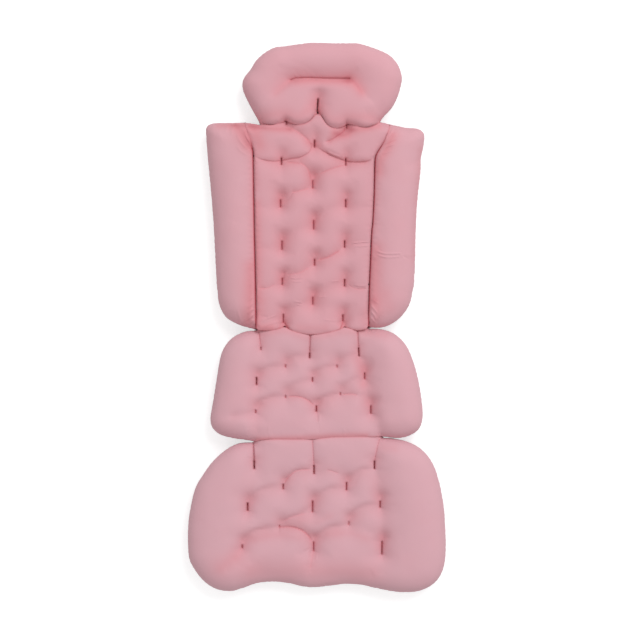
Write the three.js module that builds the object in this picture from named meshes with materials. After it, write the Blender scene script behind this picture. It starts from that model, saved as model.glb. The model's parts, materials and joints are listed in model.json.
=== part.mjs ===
// A full-length padded bath pillow: a head pillow, a back with two side wings, a seat and a leg section.
// Each section is a front cloth and a back cloth sewn round a fibre filling and tufted through it, and
// the sections fold against each other along flat sewn seams. Suction cups hold the back cloths to a tub.
// Millimetres, +Z up. It lies on its back with the head at +Y, and the origin is under its middle.
import * as THREE from "three";

// Cloth, and the flat seams that the sections fold along
const cloth = { thickness: 1.2, clearance: 0.3, leastFilling: 1.2 };
const foldSeam = { height: 22, halfWidth: 2.5, thickness: 1.6 };

// Fullness above and below the seams. What reaches below the seams' height is cut flat to rest on.
const fullness = {
  pad: { above: 20, below: 13 },
  lobe: { above: 27, below: 22.5 },
  wing: { above: 27, below: 22.5 },
  pillow: { above: 25, below: 17 },
};
const swelling = { foldReach: 34, freeReach: 30, wingReach: 24, foldPowerShare: 0.75, freePowerShare: 0.55 };
const tuft = { barLength: 12, spread: 13, depthShare: 0.88 };

// Sections, head to foot. Above and below are measured from a section's widest place to its edges.
const pillow = {
  above: 59,
  below: 60,
  halfWidth: 116,
  straight: 22,
  topPullShare: 0.9,
  bottomPullShare: 0.1,
  splayShare: 0,
  neckShare: 0.785,
  lineHalf: 42,
  lineRise: 6,
  slitHead: 26,
  slitFoot: 40,
  notchDepth: 16,
  notchWidth: 13,
  sideNotchDepth: 6,
  sideNotchWidth: 9,
  sideNotchAt: 43,
};
const back = {
  length: 302,
  headHalfWidth: 92.5,
  footHalfWidth: 82,
  tuftColumn: 47,
  firstTuft: 14.6,
  lastTuft: 30,
  tuftRows: 10,
};
const wing = {
  headWidth: 65,
  footWidth: 57,
  corner: 54,
  cornerPullShare: 1,
  shoulder: 30,
  shoulderPullShare: 0.2,
};
const seat = {
  above: 105,
  below: 54,
  halfWidth: 153,
  straight: 80,
  topPullShare: 0.52,
  bottomPullShare: 0.4,
  splayShare: 0.045,
  tuftColumn: 39,
  firstTuft: 33,
  tuftStep: 21,
};
const legs = {
  above: 160,
  below: 66,
  halfWidth: 189.5,
  straight: 97,
  topPullShare: 0.84,
  bottomPullShare: 0.8,
  splayShare: 0,
  tuftColumn: 48,
  firstTuft: 42,
  tuftStep: 29,
  waveDepth: 8,
  waveLength: 126,
};
const tuftRows = 5;

// Suction cups, and the holders sewn to the back cloth that their knobs snap into
const cup = {
  radius: 20,
  rimWidth: 3,
  rimThickness: 1,
  hollowHeight: 3.2,
  neckRadius: 4.5,
  knobRadius: 7,
  knobTopRadius: 6.2,
  knobThickness: 1.6,
  sides: 16,
};
const holder = { radius: 11, height: 3.4, lipThickness: 1.2, clearance: 0.4, sides: 12 };

const materials = {
  cloth: new THREE.MeshStandardMaterial({ color: 0xdca5ad, roughness: 0.95, metalness: 0 }),
  backing: new THREE.MeshStandardMaterial({ color: 0xd59ca5, roughness: 0.95, metalness: 0 }),
  filling: new THREE.MeshStandardMaterial({ color: 0xf4f2ee, roughness: 1, metalness: 0 }),
  seam: new THREE.MeshStandardMaterial({ color: 0xc98893, roughness: 0.95, metalness: 0 }),
  silicone: new THREE.MeshStandardMaterial({ color: 0xe6ecee, roughness: 0.25, metalness: 0 }),
  holder: new THREE.MeshStandardMaterial({ color: 0xefe6e4, roughness: 0.5, metalness: 0 }),
};

// Places of the folds along the body
const lining = cloth.thickness + cloth.clearance;
const seamEdge = foldSeam.halfWidth + cloth.clearance;
const wholeLength =
  pillow.above + pillow.below + back.length + seat.above + seat.below + legs.above + legs.below;
const headFold = wholeLength / 2 - pillow.above - pillow.below;
const seatFold = headFold - back.length;
const legFold = seatFold - seat.above - seat.below;

const product = new THREE.Group();

function addMesh(name, geometry, material) {
  const mesh = new THREE.Mesh(geometry, material);
  mesh.name = name;
  product.add(mesh);
  return mesh;
}

const mix = (from, to, share) => from + (to - from) * share;
const midway = (from, to) => (from + to) / 2;
const mirrored = (halves) => [...halves.slice(1).reverse().map((x) => -x), ...halves];

// How full a section is at a distance from its edge, from 0 on the seam to 1 at its full height
function swell(distance, reach, powerShare) {
  const angle = (Math.PI / 2) * Math.min(1, Math.max(0, distance) / reach);
  return Math.sin(angle) ** powerShare;
}

// A stitch runs from (x0, y0) to (x1, y1). A bar tack is a short one down the pad.
const barTack = (x, y) => ({ x0: x, y0: y - tuft.barLength / 2, x1: x, y1: y + tuft.barLength / 2 });

// Five rows of tufts in a quincunx: three in the odd rows and two in the even ones. The first three are
// sewn channels that run down from the fold seam.
function quincunx({ above, straight, tuftColumn, firstTuft, tuftStep }) {
  return Array.from({ length: tuftRows }, (_, row) => {
    const y = above - firstTuft - row * tuftStep;
    const places = row % 2 ? [-tuftColumn, tuftColumn] : [-straight, 0, straight];
    const sewn = places.map((x) => barTack(x, y));
    return row ? sewn : sewn.map((stitch) => ({ ...stitch, y1: above }));
  }).flat();
}

function distanceToStitch(x, y, { x0, y0, x1, y1 }) {
  const [dx, dy] = [x1 - x0, y1 - y0];
  const along = ((x - x0) * dx + (y - y0) * dy) / (dx * dx + dy * dy);
  const share = Math.min(1, Math.max(0, along));
  return Math.hypot(x - x0 - share * dx, y - y0 - share * dy);
}

// How much the sewing draws a cloth in, from 0 far from every stitch to 1 on one
function drawnIn(x, y, stitches) {
  const near = stitches.map((stitch) => distanceToStitch(x, y, stitch) / tuft.spread);
  return Math.max(0, ...near.map((distance) => Math.exp(-distance * distance)));
}

// Where a point of a section's flat pattern lies once its corners are rounded. The middle keeps its
// straight edges, each side is drawn into quarter ellipses, and the whole splays towards the foot.
function roundedPlace(cut, x, y) {
  const v = y >= 0 ? y / cut.above : y / cut.below;
  const pull = (y >= 0 ? cut.topPullShare : cut.bottomPullShare) / 2;
  const inner = Math.min(Math.abs(x), cut.straight);
  const lobe = (Math.abs(x) - inner) / (cut.halfWidth - cut.straight);
  const outer = (Math.abs(x) - inner) * Math.sqrt(1 - pull * v * v);
  const across = (inner + outer) * (1 - cut.splayShare * v);
  return { x: Math.sign(x) * across, y: y * Math.sqrt(1 - pull * lobe * lobe) };
}

// A section as a grid of pattern columns and rows: where each crossing lies, which ring it is in,
// counted from the edge, and how far the two cloths stand off the seams there
function layOut({ columns, rows, place, fullAt, swellAt, stitches, cupSpots }) {
  const points = [];
  rows.forEach((y, j) => {
    columns.forEach((x, i) => {
      const ring = Math.min(i, columns.length - 1 - i, j, rows.length - 1 - j);
      const share = swellAt(x, y) * (1 - tuft.depthShare * drawnIn(x, y, stitches));
      const full = fullAt(x, y);
      const onCup = cupSpots.some(
        (spot) => Math.abs(x - spot.x) <= spot.halfWidth && Math.abs(y - spot.y) <= spot.halfHeight,
      );
      const least = (ring > 1 ? lining + cloth.leastFilling : cloth.thickness) * Math.min(1, ring);
      const above = Math.max(least, full.above * share);
      const below = onCup ? fullness.pad.below : Math.max(least, full.below * share);
      points.push({ ...place(x, y), ring, above, below: Math.min(below, foldSeam.height) });
    });
  });
  return { points, nx: columns.length, ny: rows.length };
}

// Whether a cell is split from its first corner to its third. Near the outline the diagonals point to
// the middle, and elsewhere they run into the tufts.
function splitsForward({ points, nx, ny }, i, j) {
  const cellRing = Math.min(i, nx - 2 - i, j, ny - 2 - j);
  if (cellRing < 2) return i < (nx - 1) / 2 === j < (ny - 1) / 2;
  const crown = (column, row) => points[row * nx + column].above;
  return Math.min(crown(i, j), crown(i + 1, j + 1)) < Math.min(crown(i + 1, j), crown(i, j + 1));
}

// A closed body between two heights over the part of a grid inside a ring, where the heights meet.
// That outline is taken in by a share of its first cells.
function bodyBetween(grid, firstRing, takenInShare, upper, lower) {
  const { points, nx, ny } = grid;
  const positions = [];
  const top = new Map();
  const bottom = new Map();
  const lastRow = ny - 1 - firstRing;
  const lastColumn = nx - 1 - firstRing;
  points.forEach((point, k) => {
    if (point.ring < firstRing) return;
    top.set(k, positions.length / 3);
    if (point.ring === firstRing) {
      const column = THREE.MathUtils.clamp(k % nx, firstRing + 1, lastColumn - 1);
      const row = THREE.MathUtils.clamp(Math.floor(k / nx), firstRing + 1, lastRow - 1);
      const inner = points[row * nx + column];
      const x = mix(point.x, inner.x, takenInShare);
      positions.push(x, mix(point.y, inner.y, takenInShare), foldSeam.height);
      bottom.set(k, top.get(k));
    } else {
      positions.push(point.x, point.y, upper(point));
      bottom.set(k, positions.length / 3);
      positions.push(point.x, point.y, lower(point));
    }
  });
  const index = [];
  for (let j = firstRing; j < lastRow; j += 1) {
    for (let i = firstRing; i < lastColumn; i += 1) {
      const a = j * nx + i;
      const [b, c, d] = [a + 1, a + nx + 1, a + nx];
      const halves = splitsForward(grid, i, j) ? [[a, b, c], [a, c, d]] : [[a, b, d], [b, c, d]];
      for (const [p, q, r] of halves) {
        index.push(top.get(p), top.get(q), top.get(r), bottom.get(p), bottom.get(r), bottom.get(q));
      }
    }
  }
  const geometry = new THREE.BufferGeometry();
  geometry.setAttribute("position", new THREE.Float32BufferAttribute(positions, 3));
  geometry.setIndex(index);
  geometry.computeVertexNormals();
  return geometry;
}

// The front cloth, the filling and the back cloth of one section
const fillingTakenInShare = 0.15;
function addSection(name, grid) {
  const seams = foldSeam.height;
  const crown = (p) => seams + p.above;
  const belly = (p) => seams - p.below;
  const frontInside = (p) => (p.ring > 1 ? crown(p) - cloth.thickness : seams);
  const backInside = (p) => (p.ring > 1 ? belly(p) + cloth.thickness : seams);
  const fillingTop = (p) => crown(p) - lining;
  const fillingFoot = (p) => belly(p) + lining;
  addMesh(`${name}_front_cover`, bodyBetween(grid, 0, 0, crown, frontInside), materials.cloth);
  const filling = bodyBetween(grid, 1, fillingTakenInShare, fillingTop, fillingFoot);
  addMesh(`${name}_filling`, filling, materials.filling);
  addMesh(`${name}_back_cover`, bodyBetween(grid, 0, 0, backInside, belly), materials.backing);
}

// A revolved piece whose axis is +Z, from a profile of [radius, height] pairs
function revolved(profile, sides) {
  const points = profile.map(([radius, height]) => new THREE.Vector2(radius, height));
  return new THREE.LatheGeometry(points, sides).rotateX(Math.PI / 2);
}

// A cup stands on its rim, and its knob sits in a holder sewn under the flat of the back cloth
function addCup(name, x, y) {
  const holderTop = foldSeam.height - fullness.pad.below - cloth.clearance;
  const holderFoot = holderTop - holder.height;
  const lipTop = holderFoot + holder.lipThickness;
  const knobFoot = lipTop + holder.clearance;
  const knobTop = knobFoot + cup.knobThickness;
  const shoulder = holderFoot - holder.clearance;
  const cupProfile = [
    [0, cup.hollowHeight],
    [cup.radius - cup.rimWidth, 0],
    [cup.radius, 0],
    [cup.radius, cup.rimThickness],
    [cup.neckRadius, shoulder],
    [cup.neckRadius, knobFoot],
    [cup.knobRadius, knobFoot],
    [cup.knobTopRadius, knobTop],
    [0, knobTop],
  ];
  const lipBore = cup.neckRadius + holder.clearance;
  const room = cup.knobRadius + holder.clearance;
  const holderProfile = [
    [lipBore, holderFoot],
    [holder.radius, holderFoot],
    [holder.radius, holderTop],
    [room, holderTop],
    [room, lipTop],
    [lipBore, lipTop],
    [lipBore, holderFoot],
  ];
  addMesh(`${name}_suction_cup`, revolved(cupProfile, cup.sides), materials.silicone);
  addMesh(`${name}_cup_holder`, revolved(holderProfile, holder.sides), materials.holder);
  product.children.slice(-2).forEach((mesh) => mesh.position.set(x, y, 0));
}

// A pair of cups, left and right
function addCups(name, x, y) {
  addCup(`${name}_left`, -x, y);
  addCup(`${name}_right`, x, y);
}

// Where the back cloth lies flat over a pair of cups. It reaches just past the next columns and rows.
const patchReachShare = 1.1;
function cupPatch(x, y, toColumn, toRow) {
  const [halfWidth, halfHeight] = [patchReachShare * toColumn, patchReachShare * toRow];
  return [-x, x].map((at) => ({ x: at, y, halfWidth, halfHeight }));
}

// The flat seam between two sections, where the front cloth is sewn to the back cloth
function addFoldSeam(name, length, x, y, slant) {
  const strip = new THREE.BoxGeometry(length, 2 * foldSeam.halfWidth, foldSeam.thickness);
  const mesh = addMesh(name, strip, materials.seam);
  mesh.position.set(x, y, foldSeam.height);
  mesh.rotation.z = slant;
}

// Fullness grows from the tufted middle to the plump lobes at the sides
const lobeShares = [0.3, 0.55, 0.85, 1];
function lobedFullness(cut, x) {
  const fullLobe = lobeShares[0] * (cut.halfWidth - cut.straight);
  const share = THREE.MathUtils.smoothstep(Math.abs(x), cut.straight, cut.straight + fullLobe);
  return {
    above: mix(fullness.pad.above, fullness.lobe.above, share),
    below: mix(fullness.pad.below, fullness.lobe.below, share),
  };
}

// Columns of a lobed section: four to each tuft spacing, then its lobe
function lobedColumns({ straight, tuftColumn, halfWidth }) {
  const lobe = lobeShares.map((share) => straight + (halfWidth - straight) * share);
  return mirrored([0, tuftColumn / 2, tuftColumn, (tuftColumn + straight) / 2, straight, ...lobe]);
}

// A section's cut edges lie clear of the seams that it folds along
const clearOfSeams = (cut, above, below) => ({ ...cut, above: cut.above - above, below: cut.below - below });

// Head pillow: a ring of filling round a stitched line, with a scalloped lower edge
const pillowRowShares = { up: [0.34, 0.6, 0.82, 0.95, 1], down: [1, 0.88, 0.68, 0.45, 0.2] };
function addPillow() {
  const cut = clearOfSeams(pillow, 0, seamEdge);
  const middle = headFold + pillow.below;
  const gauss = (offset, width) => Math.exp(-((offset / width) ** 2));
  const place = (x, y) => {
    const at = roundedPlace(cut, x, y);
    const low = Math.max(0, -y / cut.below);
    const across = at.x * (1 - (1 - pillow.neckShare) * low * low);
    const scallop =
      pillow.notchDepth * gauss(across, pillow.notchWidth) +
      pillow.sideNotchDepth * gauss(Math.abs(across) - pillow.sideNotchAt, pillow.sideNotchWidth);
    return { x: across, y: middle + at.y + scallop * low * low };
  };
  const cupAt = midway(pillow.lineHalf, pillow.halfWidth);
  const halves = [
    0,
    pillow.notchWidth,
    midway(pillow.notchWidth, pillow.lineHalf),
    pillow.lineHalf,
    midway(pillow.lineHalf, cupAt),
    cupAt,
    midway(cupAt, pillow.halfWidth),
    pillow.halfWidth - swelling.freeReach / 4,
    pillow.halfWidth,
  ];
  const patchRow = pillowRowShares.up[0] * cut.above;
  const rows = [
    ...pillowRowShares.down.map((share) => -share * cut.below),
    pillow.lineRise,
    ...pillowRowShares.up.map((share) => share * cut.above),
  ];
  const stitches = [
    { x0: -pillow.lineHalf, y0: pillow.lineRise, x1: pillow.lineHalf, y1: pillow.lineRise },
    { x0: 0, y0: -pillow.slitFoot, x1: 0, y1: -pillow.slitHead },
  ];
  const { freeReach, foldReach, freePowerShare, foldPowerShare } = swelling;
  const swellAt = (x, y) =>
    swell(cut.halfWidth - Math.abs(x), freeReach, freePowerShare) *
    swell(cut.above - y, freeReach, freePowerShare) *
    swell(cut.below + y, foldReach, foldPowerShare);
  const cupSpots = cupPatch(cupAt, pillow.lineRise, (pillow.halfWidth - cupAt) / 2, patchRow);
  const fullAt = () => fullness.pillow;
  const columns = mirrored(halves);
  addSection("pillow", layOut({ columns, rows, place, fullAt, swellAt, stitches, cupSpots }));
  addCups("pillow", cupAt, middle + pillow.lineRise);
}

// Half the width of the back between its wing seams, at a height above the seat fold
const seamHalfWidth = (y) => mix(back.footHalfWidth, back.headHalfWidth, y / back.length);

// Back: three columns of tufts down a long pad
const backEdgeShares = [0.5, 0.8, 1];
function addBack() {
  const halfWidth = seamHalfWidth(back.length / 2);
  const edge = halfWidth - seamEdge;
  const outside = backEdgeShares.map((share) => mix(back.tuftColumn, edge, share));
  const columns = mirrored([0, back.tuftColumn / 2, back.tuftColumn, ...outside]);
  const tuftStep = (back.length - back.firstTuft - back.lastTuft) / (back.tuftRows - 1);
  const tuftY = (row) => back.firstTuft + row * tuftStep;
  const between = Array.from({ length: 2 * back.tuftRows - 1 }, (_, k) => tuftY(k / 2));
  const headEdge = back.length - seamEdge;
  const rows = [seamEdge, ...between, midway(tuftY(back.tuftRows - 1), headEdge), headEdge];
  const stitches = Array.from({ length: back.tuftRows }, (_, row) =>
    (row % 2 ? [0] : [-back.tuftColumn, back.tuftColumn]).map((x) => barTack(x, tuftY(row))),
  ).flat();
  const place = (x, y) => {
    const across = (seamHalfWidth(y) - seamEdge) / edge;
    return { x: x * across, y: seatFold + y };
  };
  const { foldReach, foldPowerShare } = swelling;
  const swellAt = (x, y) =>
    swell(edge - Math.abs(x), foldReach, foldPowerShare) *
    swell(y - seamEdge, foldReach, foldPowerShare) *
    swell(headEdge - y, foldReach, foldPowerShare);
  const cupRows = [tuftY(1), tuftY(back.tuftRows - 3)];
  const cupSpots = cupRows.flatMap((y) =>
    cupPatch(back.tuftColumn, y, back.tuftColumn / 2, tuftStep / 2),
  );
  const fullAt = () => fullness.pad;
  addSection("back", layOut({ columns, rows, place, fullAt, swellAt, stitches, cupSpots }));
  addCups("back_lower", back.tuftColumn, seatFold + cupRows[0]);
  addCups("back_upper", back.tuftColumn, seatFold + cupRows[1]);
}

// Wing: a bolster down one side of the back, square at the shoulder and rounded off at the seat
const wingColumnShares = [0, 0.14, 0.4, 0.6, 0.88, 1];
const wingCornerShares = [0, 0.25, 0.6, 1];
const wingRowShares = [0.2, 0.38, 0.56, 0.74];
const wingShoulderShares = [0.65, 1];
function addWing(name, side) {
  const foot = seamEdge;
  const head = back.length - seamEdge;
  const corner = foot + wing.corner;
  const shoulder = head - wing.shoulder;
  const place = (x, y) => {
    const out = Math.abs(x) / wing.footWidth;
    const low = Math.max(0, corner - y) / wing.corner;
    const high = Math.max(0, y - shoulder) / wing.shoulder;
    const [lowPull, highPull] = [wing.cornerPullShare / 2, wing.shoulderPullShare / 2];
    const drawn = Math.sqrt(1 - lowPull * low * low) * Math.sqrt(1 - highPull * high * high);
    const width = mix(wing.footWidth, wing.headWidth, y / back.length) * drawn;
    const lift = wing.corner * low * (1 - Math.sqrt(1 - lowPull * out * out));
    const drop = wing.shoulder * high * (1 - Math.sqrt(1 - highPull * out * out));
    return { x: side * (seamHalfWidth(y) + seamEdge + width * out), y: seatFold + y + lift - drop };
  };
  const outward = wingColumnShares.map((share) => side * share * wing.footWidth);
  const columns = side > 0 ? outward : outward.reverse();
  const rows = [
    ...wingCornerShares.map((share) => mix(foot, corner, share)),
    ...wingRowShares.map((share) => mix(corner, head, share)),
    ...wingShoulderShares.map((share) => mix(shoulder, head, share)),
  ];
  const { wingReach, freeReach, freePowerShare, foldPowerShare } = swelling;
  const swellAt = (x, y) =>
    swell(Math.abs(x), wingReach, foldPowerShare) *
    swell(wing.footWidth - Math.abs(x), wingReach, freePowerShare) *
    swell(y - foot, freeReach, freePowerShare) *
    swell(head - y, freeReach, freePowerShare);
  const fullAt = () => fullness.wing;
  addSection(name, layOut({ columns, rows, place, fullAt, swellAt, stitches: [], cupSpots: [] }));
}

// Rows of a lobed section: its edges, its tufts and what lies between them
const lobedHeadShares = [0.4, 0.75, 1];
function lobedRows(cut, edgeHead, edgeFoot, footShares) {
  const first = cut.above - cut.firstTuft;
  const last = first - (tuftRows - 1) * cut.tuftStep;
  const foot = footShares.map((share) => mix(edgeFoot, last, share));
  const tufts = Array.from({ length: tuftRows }, (_, row) => mix(last, first, row / (tuftRows - 1)));
  const head = lobedHeadShares.map((share) => mix(first, edgeHead, share));
  return [...foot, ...tufts, ...head];
}

// Seat: a square of tufts between two plump lobes, folded along both its long edges
const seatFootShares = [0, 0.25, 0.6];
function addSeat() {
  const cut = clearOfSeams(seat, seamEdge, seamEdge);
  const middle = seatFold - seat.above;
  const place = (x, y) => {
    const at = roundedPlace(cut, x, y);
    return { x: at.x, y: middle + at.y };
  };
  const { foldReach, freeReach, freePowerShare, foldPowerShare } = swelling;
  const swellAt = (x, y) =>
    swell(cut.halfWidth - Math.abs(x), freeReach, freePowerShare) *
    swell(cut.above - y, foldReach, foldPowerShare) *
    swell(cut.below + y, foldReach, foldPowerShare);
  const cupRow = seat.above - seat.firstTuft - 2 * seat.tuftStep;
  const cupSpots = cupPatch(seat.tuftColumn, cupRow, seat.tuftColumn / 2, seat.tuftStep / 2);
  const columns = lobedColumns(cut);
  const rows = lobedRows(seat, cut.above, -cut.below, seatFootShares);
  const fullAt = (x) => lobedFullness(cut, x);
  const stitches = quincunx(seat);
  addSection("seat", layOut({ columns, rows, place, fullAt, swellAt, stitches, cupSpots }));
  addCups("seat", seat.tuftColumn, middle + cupRow);
}

// Legs: the widest section, with a wavy lower edge
const legFootShares = [0, 0.16, 0.4, 0.72];
function addLegs() {
  const cut = clearOfSeams(legs, seamEdge, 0);
  const middle = legFold - legs.above;
  const place = (x, y) => {
    const at = roundedPlace(cut, x, y);
    const low = Math.max(0, -y / cut.below);
    const turn = (2 * Math.PI * Math.min(Math.abs(x), legs.waveLength)) / legs.waveLength;
    return { x: at.x, y: middle + at.y + (legs.waveDepth / 2) * (1 - Math.cos(turn)) * low * low };
  };
  const { foldReach, freeReach, freePowerShare, foldPowerShare } = swelling;
  const swellAt = (x, y) =>
    swell(cut.halfWidth - Math.abs(x), freeReach, freePowerShare) *
    swell(cut.above - y, foldReach, foldPowerShare) *
    swell(cut.below + y, freeReach, freePowerShare);
  const lastTuft = legs.above - legs.firstTuft - (tuftRows - 1) * legs.tuftStep;
  const patchRows = legFootShares.slice(2).map((share) => mix(-cut.below, lastTuft, share));
  const cupRow = midway(...patchRows);
  const cupSpots = cupPatch(legs.tuftColumn, cupRow, legs.tuftColumn / 2, patchRows[1] - cupRow);
  const columns = lobedColumns(cut);
  const rows = lobedRows(legs, cut.above, -cut.below, legFootShares);
  const fullAt = (x) => lobedFullness(cut, x);
  const stitches = quincunx(legs);
  addSection("legs", layOut({ columns, rows, place, fullAt, swellAt, stitches, cupSpots }));
  addCups("legs", legs.tuftColumn, middle + cupRow);
}

// The seams stop short of each other where they meet at the corners of the back
function addFoldSeams() {
  const crossing = 2 * seamEdge;
  const lean = Math.atan2(back.length, back.headHalfWidth - back.footHalfWidth);
  const wingSeam = (back.length - 2 * crossing) / Math.sin(lean);
  addFoldSeam("head_fold_seam", 2 * (pillow.neckShare * pillow.halfWidth - crossing), 0, headFold, 0);
  addFoldSeam("seat_fold_seam", 2 * (back.footHalfWidth - crossing), 0, seatFold, 0);
  addFoldSeam("leg_fold_seam", 2 * seat.straight, 0, legFold, 0);
  const wingX = seamHalfWidth(back.length / 2);
  const wingY = midway(headFold, seatFold);
  addFoldSeam("left_wing_seam", wingSeam, -wingX, wingY, -lean);
  addFoldSeam("right_wing_seam", wingSeam, wingX, wingY, lean);
}

addPillow();
addBack();
addWing("left_wing", -1);
addWing("right_wing", 1);
addSeat();
addLegs();
addFoldSeams();

export default product;
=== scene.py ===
# Bath pillow: six stuffed and tufted sections that fold on their sewn seams, laid flat, seen from above
import json
import math

import bpy
import numpy as np
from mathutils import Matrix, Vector, noise
from mathutils.geometry import delaunay_2d_cdt


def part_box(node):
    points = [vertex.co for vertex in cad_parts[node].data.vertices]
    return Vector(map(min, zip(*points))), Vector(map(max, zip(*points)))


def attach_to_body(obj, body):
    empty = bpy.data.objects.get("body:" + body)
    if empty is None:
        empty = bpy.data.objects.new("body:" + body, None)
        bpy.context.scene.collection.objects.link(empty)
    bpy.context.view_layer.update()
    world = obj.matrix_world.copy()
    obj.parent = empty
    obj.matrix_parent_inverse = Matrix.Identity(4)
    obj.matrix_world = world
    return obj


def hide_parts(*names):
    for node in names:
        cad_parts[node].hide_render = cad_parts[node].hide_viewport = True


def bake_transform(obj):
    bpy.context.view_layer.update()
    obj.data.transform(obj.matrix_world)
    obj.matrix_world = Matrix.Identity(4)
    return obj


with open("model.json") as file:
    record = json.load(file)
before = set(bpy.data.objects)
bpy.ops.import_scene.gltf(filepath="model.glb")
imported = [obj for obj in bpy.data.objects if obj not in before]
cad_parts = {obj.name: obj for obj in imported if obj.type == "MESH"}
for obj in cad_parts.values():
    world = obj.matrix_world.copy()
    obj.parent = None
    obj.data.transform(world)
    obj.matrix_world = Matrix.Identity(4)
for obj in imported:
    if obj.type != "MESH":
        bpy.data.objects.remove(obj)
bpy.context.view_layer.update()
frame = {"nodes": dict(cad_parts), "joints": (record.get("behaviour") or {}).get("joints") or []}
scene = bpy.context.scene
mm = 0.001
seamHeight = frame["joints"][0]["pos_m"][2]

# The photograph's frame: 640 pixels across, and the model's origin in it
photo = {"width": 640, "perPixel": 1.47 * mm, "x": 316.5, "y": 317.5}


def place(points):
    return [((x - photo["x"]) * photo["perPixel"], (photo["y"] - y) * photo["perPixel"]) for x, y in points]


# Camera: straight down on the pad with a long lens, head at the top of the picture
lens = {"height": 3.0, "sensor": 36.0, "clipEnd": 20}


def addCamera():
    across = photo["width"] * photo["perPixel"]
    centre = place([(photo["width"] / 2, photo["width"] / 2)])[0]
    data = bpy.data.cameras.new("camera")
    data.sensor_width = lens["sensor"]
    data.lens = lens["sensor"] * (lens["height"] - seamHeight) / across
    data.clip_end = lens["clipEnd"]
    camera = bpy.data.objects.new("camera", data)
    camera.location = (centre[0], centre[1], lens["height"])
    scene.collection.objects.link(camera)
    scene.camera = camera
    print("camera: lens", round(data.lens, 1), "mm")


addCamera()


# Curves and distances in the plane of the pad
curveSteps = 24  # short steps between two given points, before they are spaced evenly
atOnce = 3000  # distances are worked out for this many points at a time
noLength, noSlope = 1e-18, 1e-30  # keep divisions away from zero


def spline(points, step):
    # evenly spaced points on a smooth curve through the given ones
    p = np.array(points, float)
    q = np.vstack([2 * p[0] - p[1], p, 2 * p[-1] - p[-2]])
    fine = []
    t = np.linspace(0, 1, curveSteps, endpoint=False)[:, None]
    for a, b, c, d in zip(q[:-3], q[1:-2], q[2:-1], q[3:]):
        bend = (2 * a - 5 * b + 4 * c - d) * t**2 + (3 * b - a - 3 * c + d) * t**3
        fine.append(0.5 * (2 * b + (c - a) * t + bend))
    fine = np.vstack(fine + [q[-2][None]])
    along = np.concatenate([[0], np.cumsum(np.hypot(*np.diff(fine, axis=0).T))])
    at = np.linspace(0, along[-1], max(2, round(along[-1] / step)) + 1)
    return np.column_stack([np.interp(at, along, fine[:, 0]), np.interp(at, along, fine[:, 1])])


def inside(points, loop):
    x, y = points[:, 0:1], points[:, 1:2]
    a, b = loop, np.roll(loop, -1, axis=0)
    crosses = (a[:, 1] > y) != (b[:, 1] > y)
    at = (b[:, 0] - a[:, 0]) * (y - a[:, 1]) / (b[:, 1] - a[:, 1] + noSlope) + a[:, 0]
    return (crosses & (x < at)).sum(1) % 2 == 1


def nearest(points, line, closed=False):
    # distance to a line, the nearest point on it, the side (+1 left) and how far along from 0 to 1
    a = line if closed else line[:-1]
    d = (np.roll(line, -1, axis=0) if closed else line[1:]) - a
    size = (d * d).sum(1).clip(noLength)
    lengths = np.concatenate([[0], np.cumsum(np.sqrt(size))])
    out, foot, side, along = [], [], [], []
    for k in range(0, len(points), atOnce):
        p = points[k : k + atOnce, None, :]
        t = np.clip(((p - a) * d).sum(2) / size, 0, 1)
        near = a + t[..., None] * d
        gap = ((p - near) ** 2).sum(2)
        best = gap.argmin(1)
        row = np.arange(len(best))
        away = p[:, 0] - near[row, best]
        out.append(np.sqrt(gap[row, best]))
        foot.append(near[row, best])
        side.append(np.sign(d[best, 0] * away[:, 1] - d[best, 1] * away[:, 0]))
        along.append((lengths[best] + t[row, best] * np.sqrt(size[best])) / lengths[-1])
    return np.concatenate(out), np.vstack(foot), np.concatenate(side), np.concatenate(along)


def closeTo(points, line, reach):
    # the same, only for the points within reach of the line: which they are, distance, side, along
    low, high = line.min(0) - reach, line.max(0) + reach
    rows = np.nonzero(((points >= low) & (points <= high)).all(1))[0]
    if not len(rows):
        return rows, np.zeros(0), np.zeros(0), np.zeros(0)
    far, foot, side, along = nearest(points[rows], line)
    keep = far < reach
    return rows[keep], far[keep], side[keep], along[keep]


def leastDistance(points, lines, reach):
    least = np.full(len(points), reach)
    for line in lines:
        rows, far, side, along = closeTo(points, line, reach)
        least[rows] = np.minimum(least[rows], far)
    return least


def ease(t):
    t = np.clip(t, 0, 1)
    return t * t * (3 - 2 * t)


def roundRise(distance, reach, power=2):
    # the quarter ellipse of a plump edge: steep at the seam, level at the crown, squarer for a higher power
    return (1 - (1 - np.clip(distance / reach, 0, 1)) ** power) ** (1 / power)


# Section outlines, in pixels of the photograph: each is a chain of smooth runs, free or sewn
pillowLobes = [
    [(380.1, 121.9), (376.7, 125.3), (368.9, 128.4), (361.1, 128.4), (353.3, 125.8), (347, 124.9)],
    [(347, 124.9), (340, 128.4), (334, 129.3), (327.2, 125.8), (321.3, 117.7), (317.6, 112.6)],
    [(317.6, 112.6), (315.3, 116.5), (309.7, 122.3), (302.7, 125.3), (295.7, 125.3), (285.8, 121.7)],
    [(285.8, 121.7), (278, 124.8), (270, 126.4), (260, 124.6)],
]
leftSeam = [(244.6, 122.6), (247.9, 132.1), (250.8, 139.5), (252.6, 150.5), (253.3, 158.5), (254.4, 226)]
leftSeam += [(255.5, 274.7), (256.3, 329.8)]
rightSeam = [(389.5, 124.4), (388.9, 130), (386.7, 136.2), (384.5, 142), (380.5, 148.3), (376.3, 155.6)]
rightSeam += [(374.8, 164.4), (374, 196.7), (372.6, 224.5), (371.8, 230.7), (370.4, 260), (369.2, 289.3)]
rightSeam += [(368.2, 328)]
seatSeam = [
    [(368.2, 328), (360, 330), (351, 328.9), (344.5, 327)],
    [(344.5, 327), (338, 330), (324.7, 332.9), (310.7, 334.2), (295.3, 331.6), (288, 328.7), (284.6, 326.6)],
    [(284.6, 326.6), (279, 328.8), (270, 330.3), (256.3, 329.8)],
]
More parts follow.
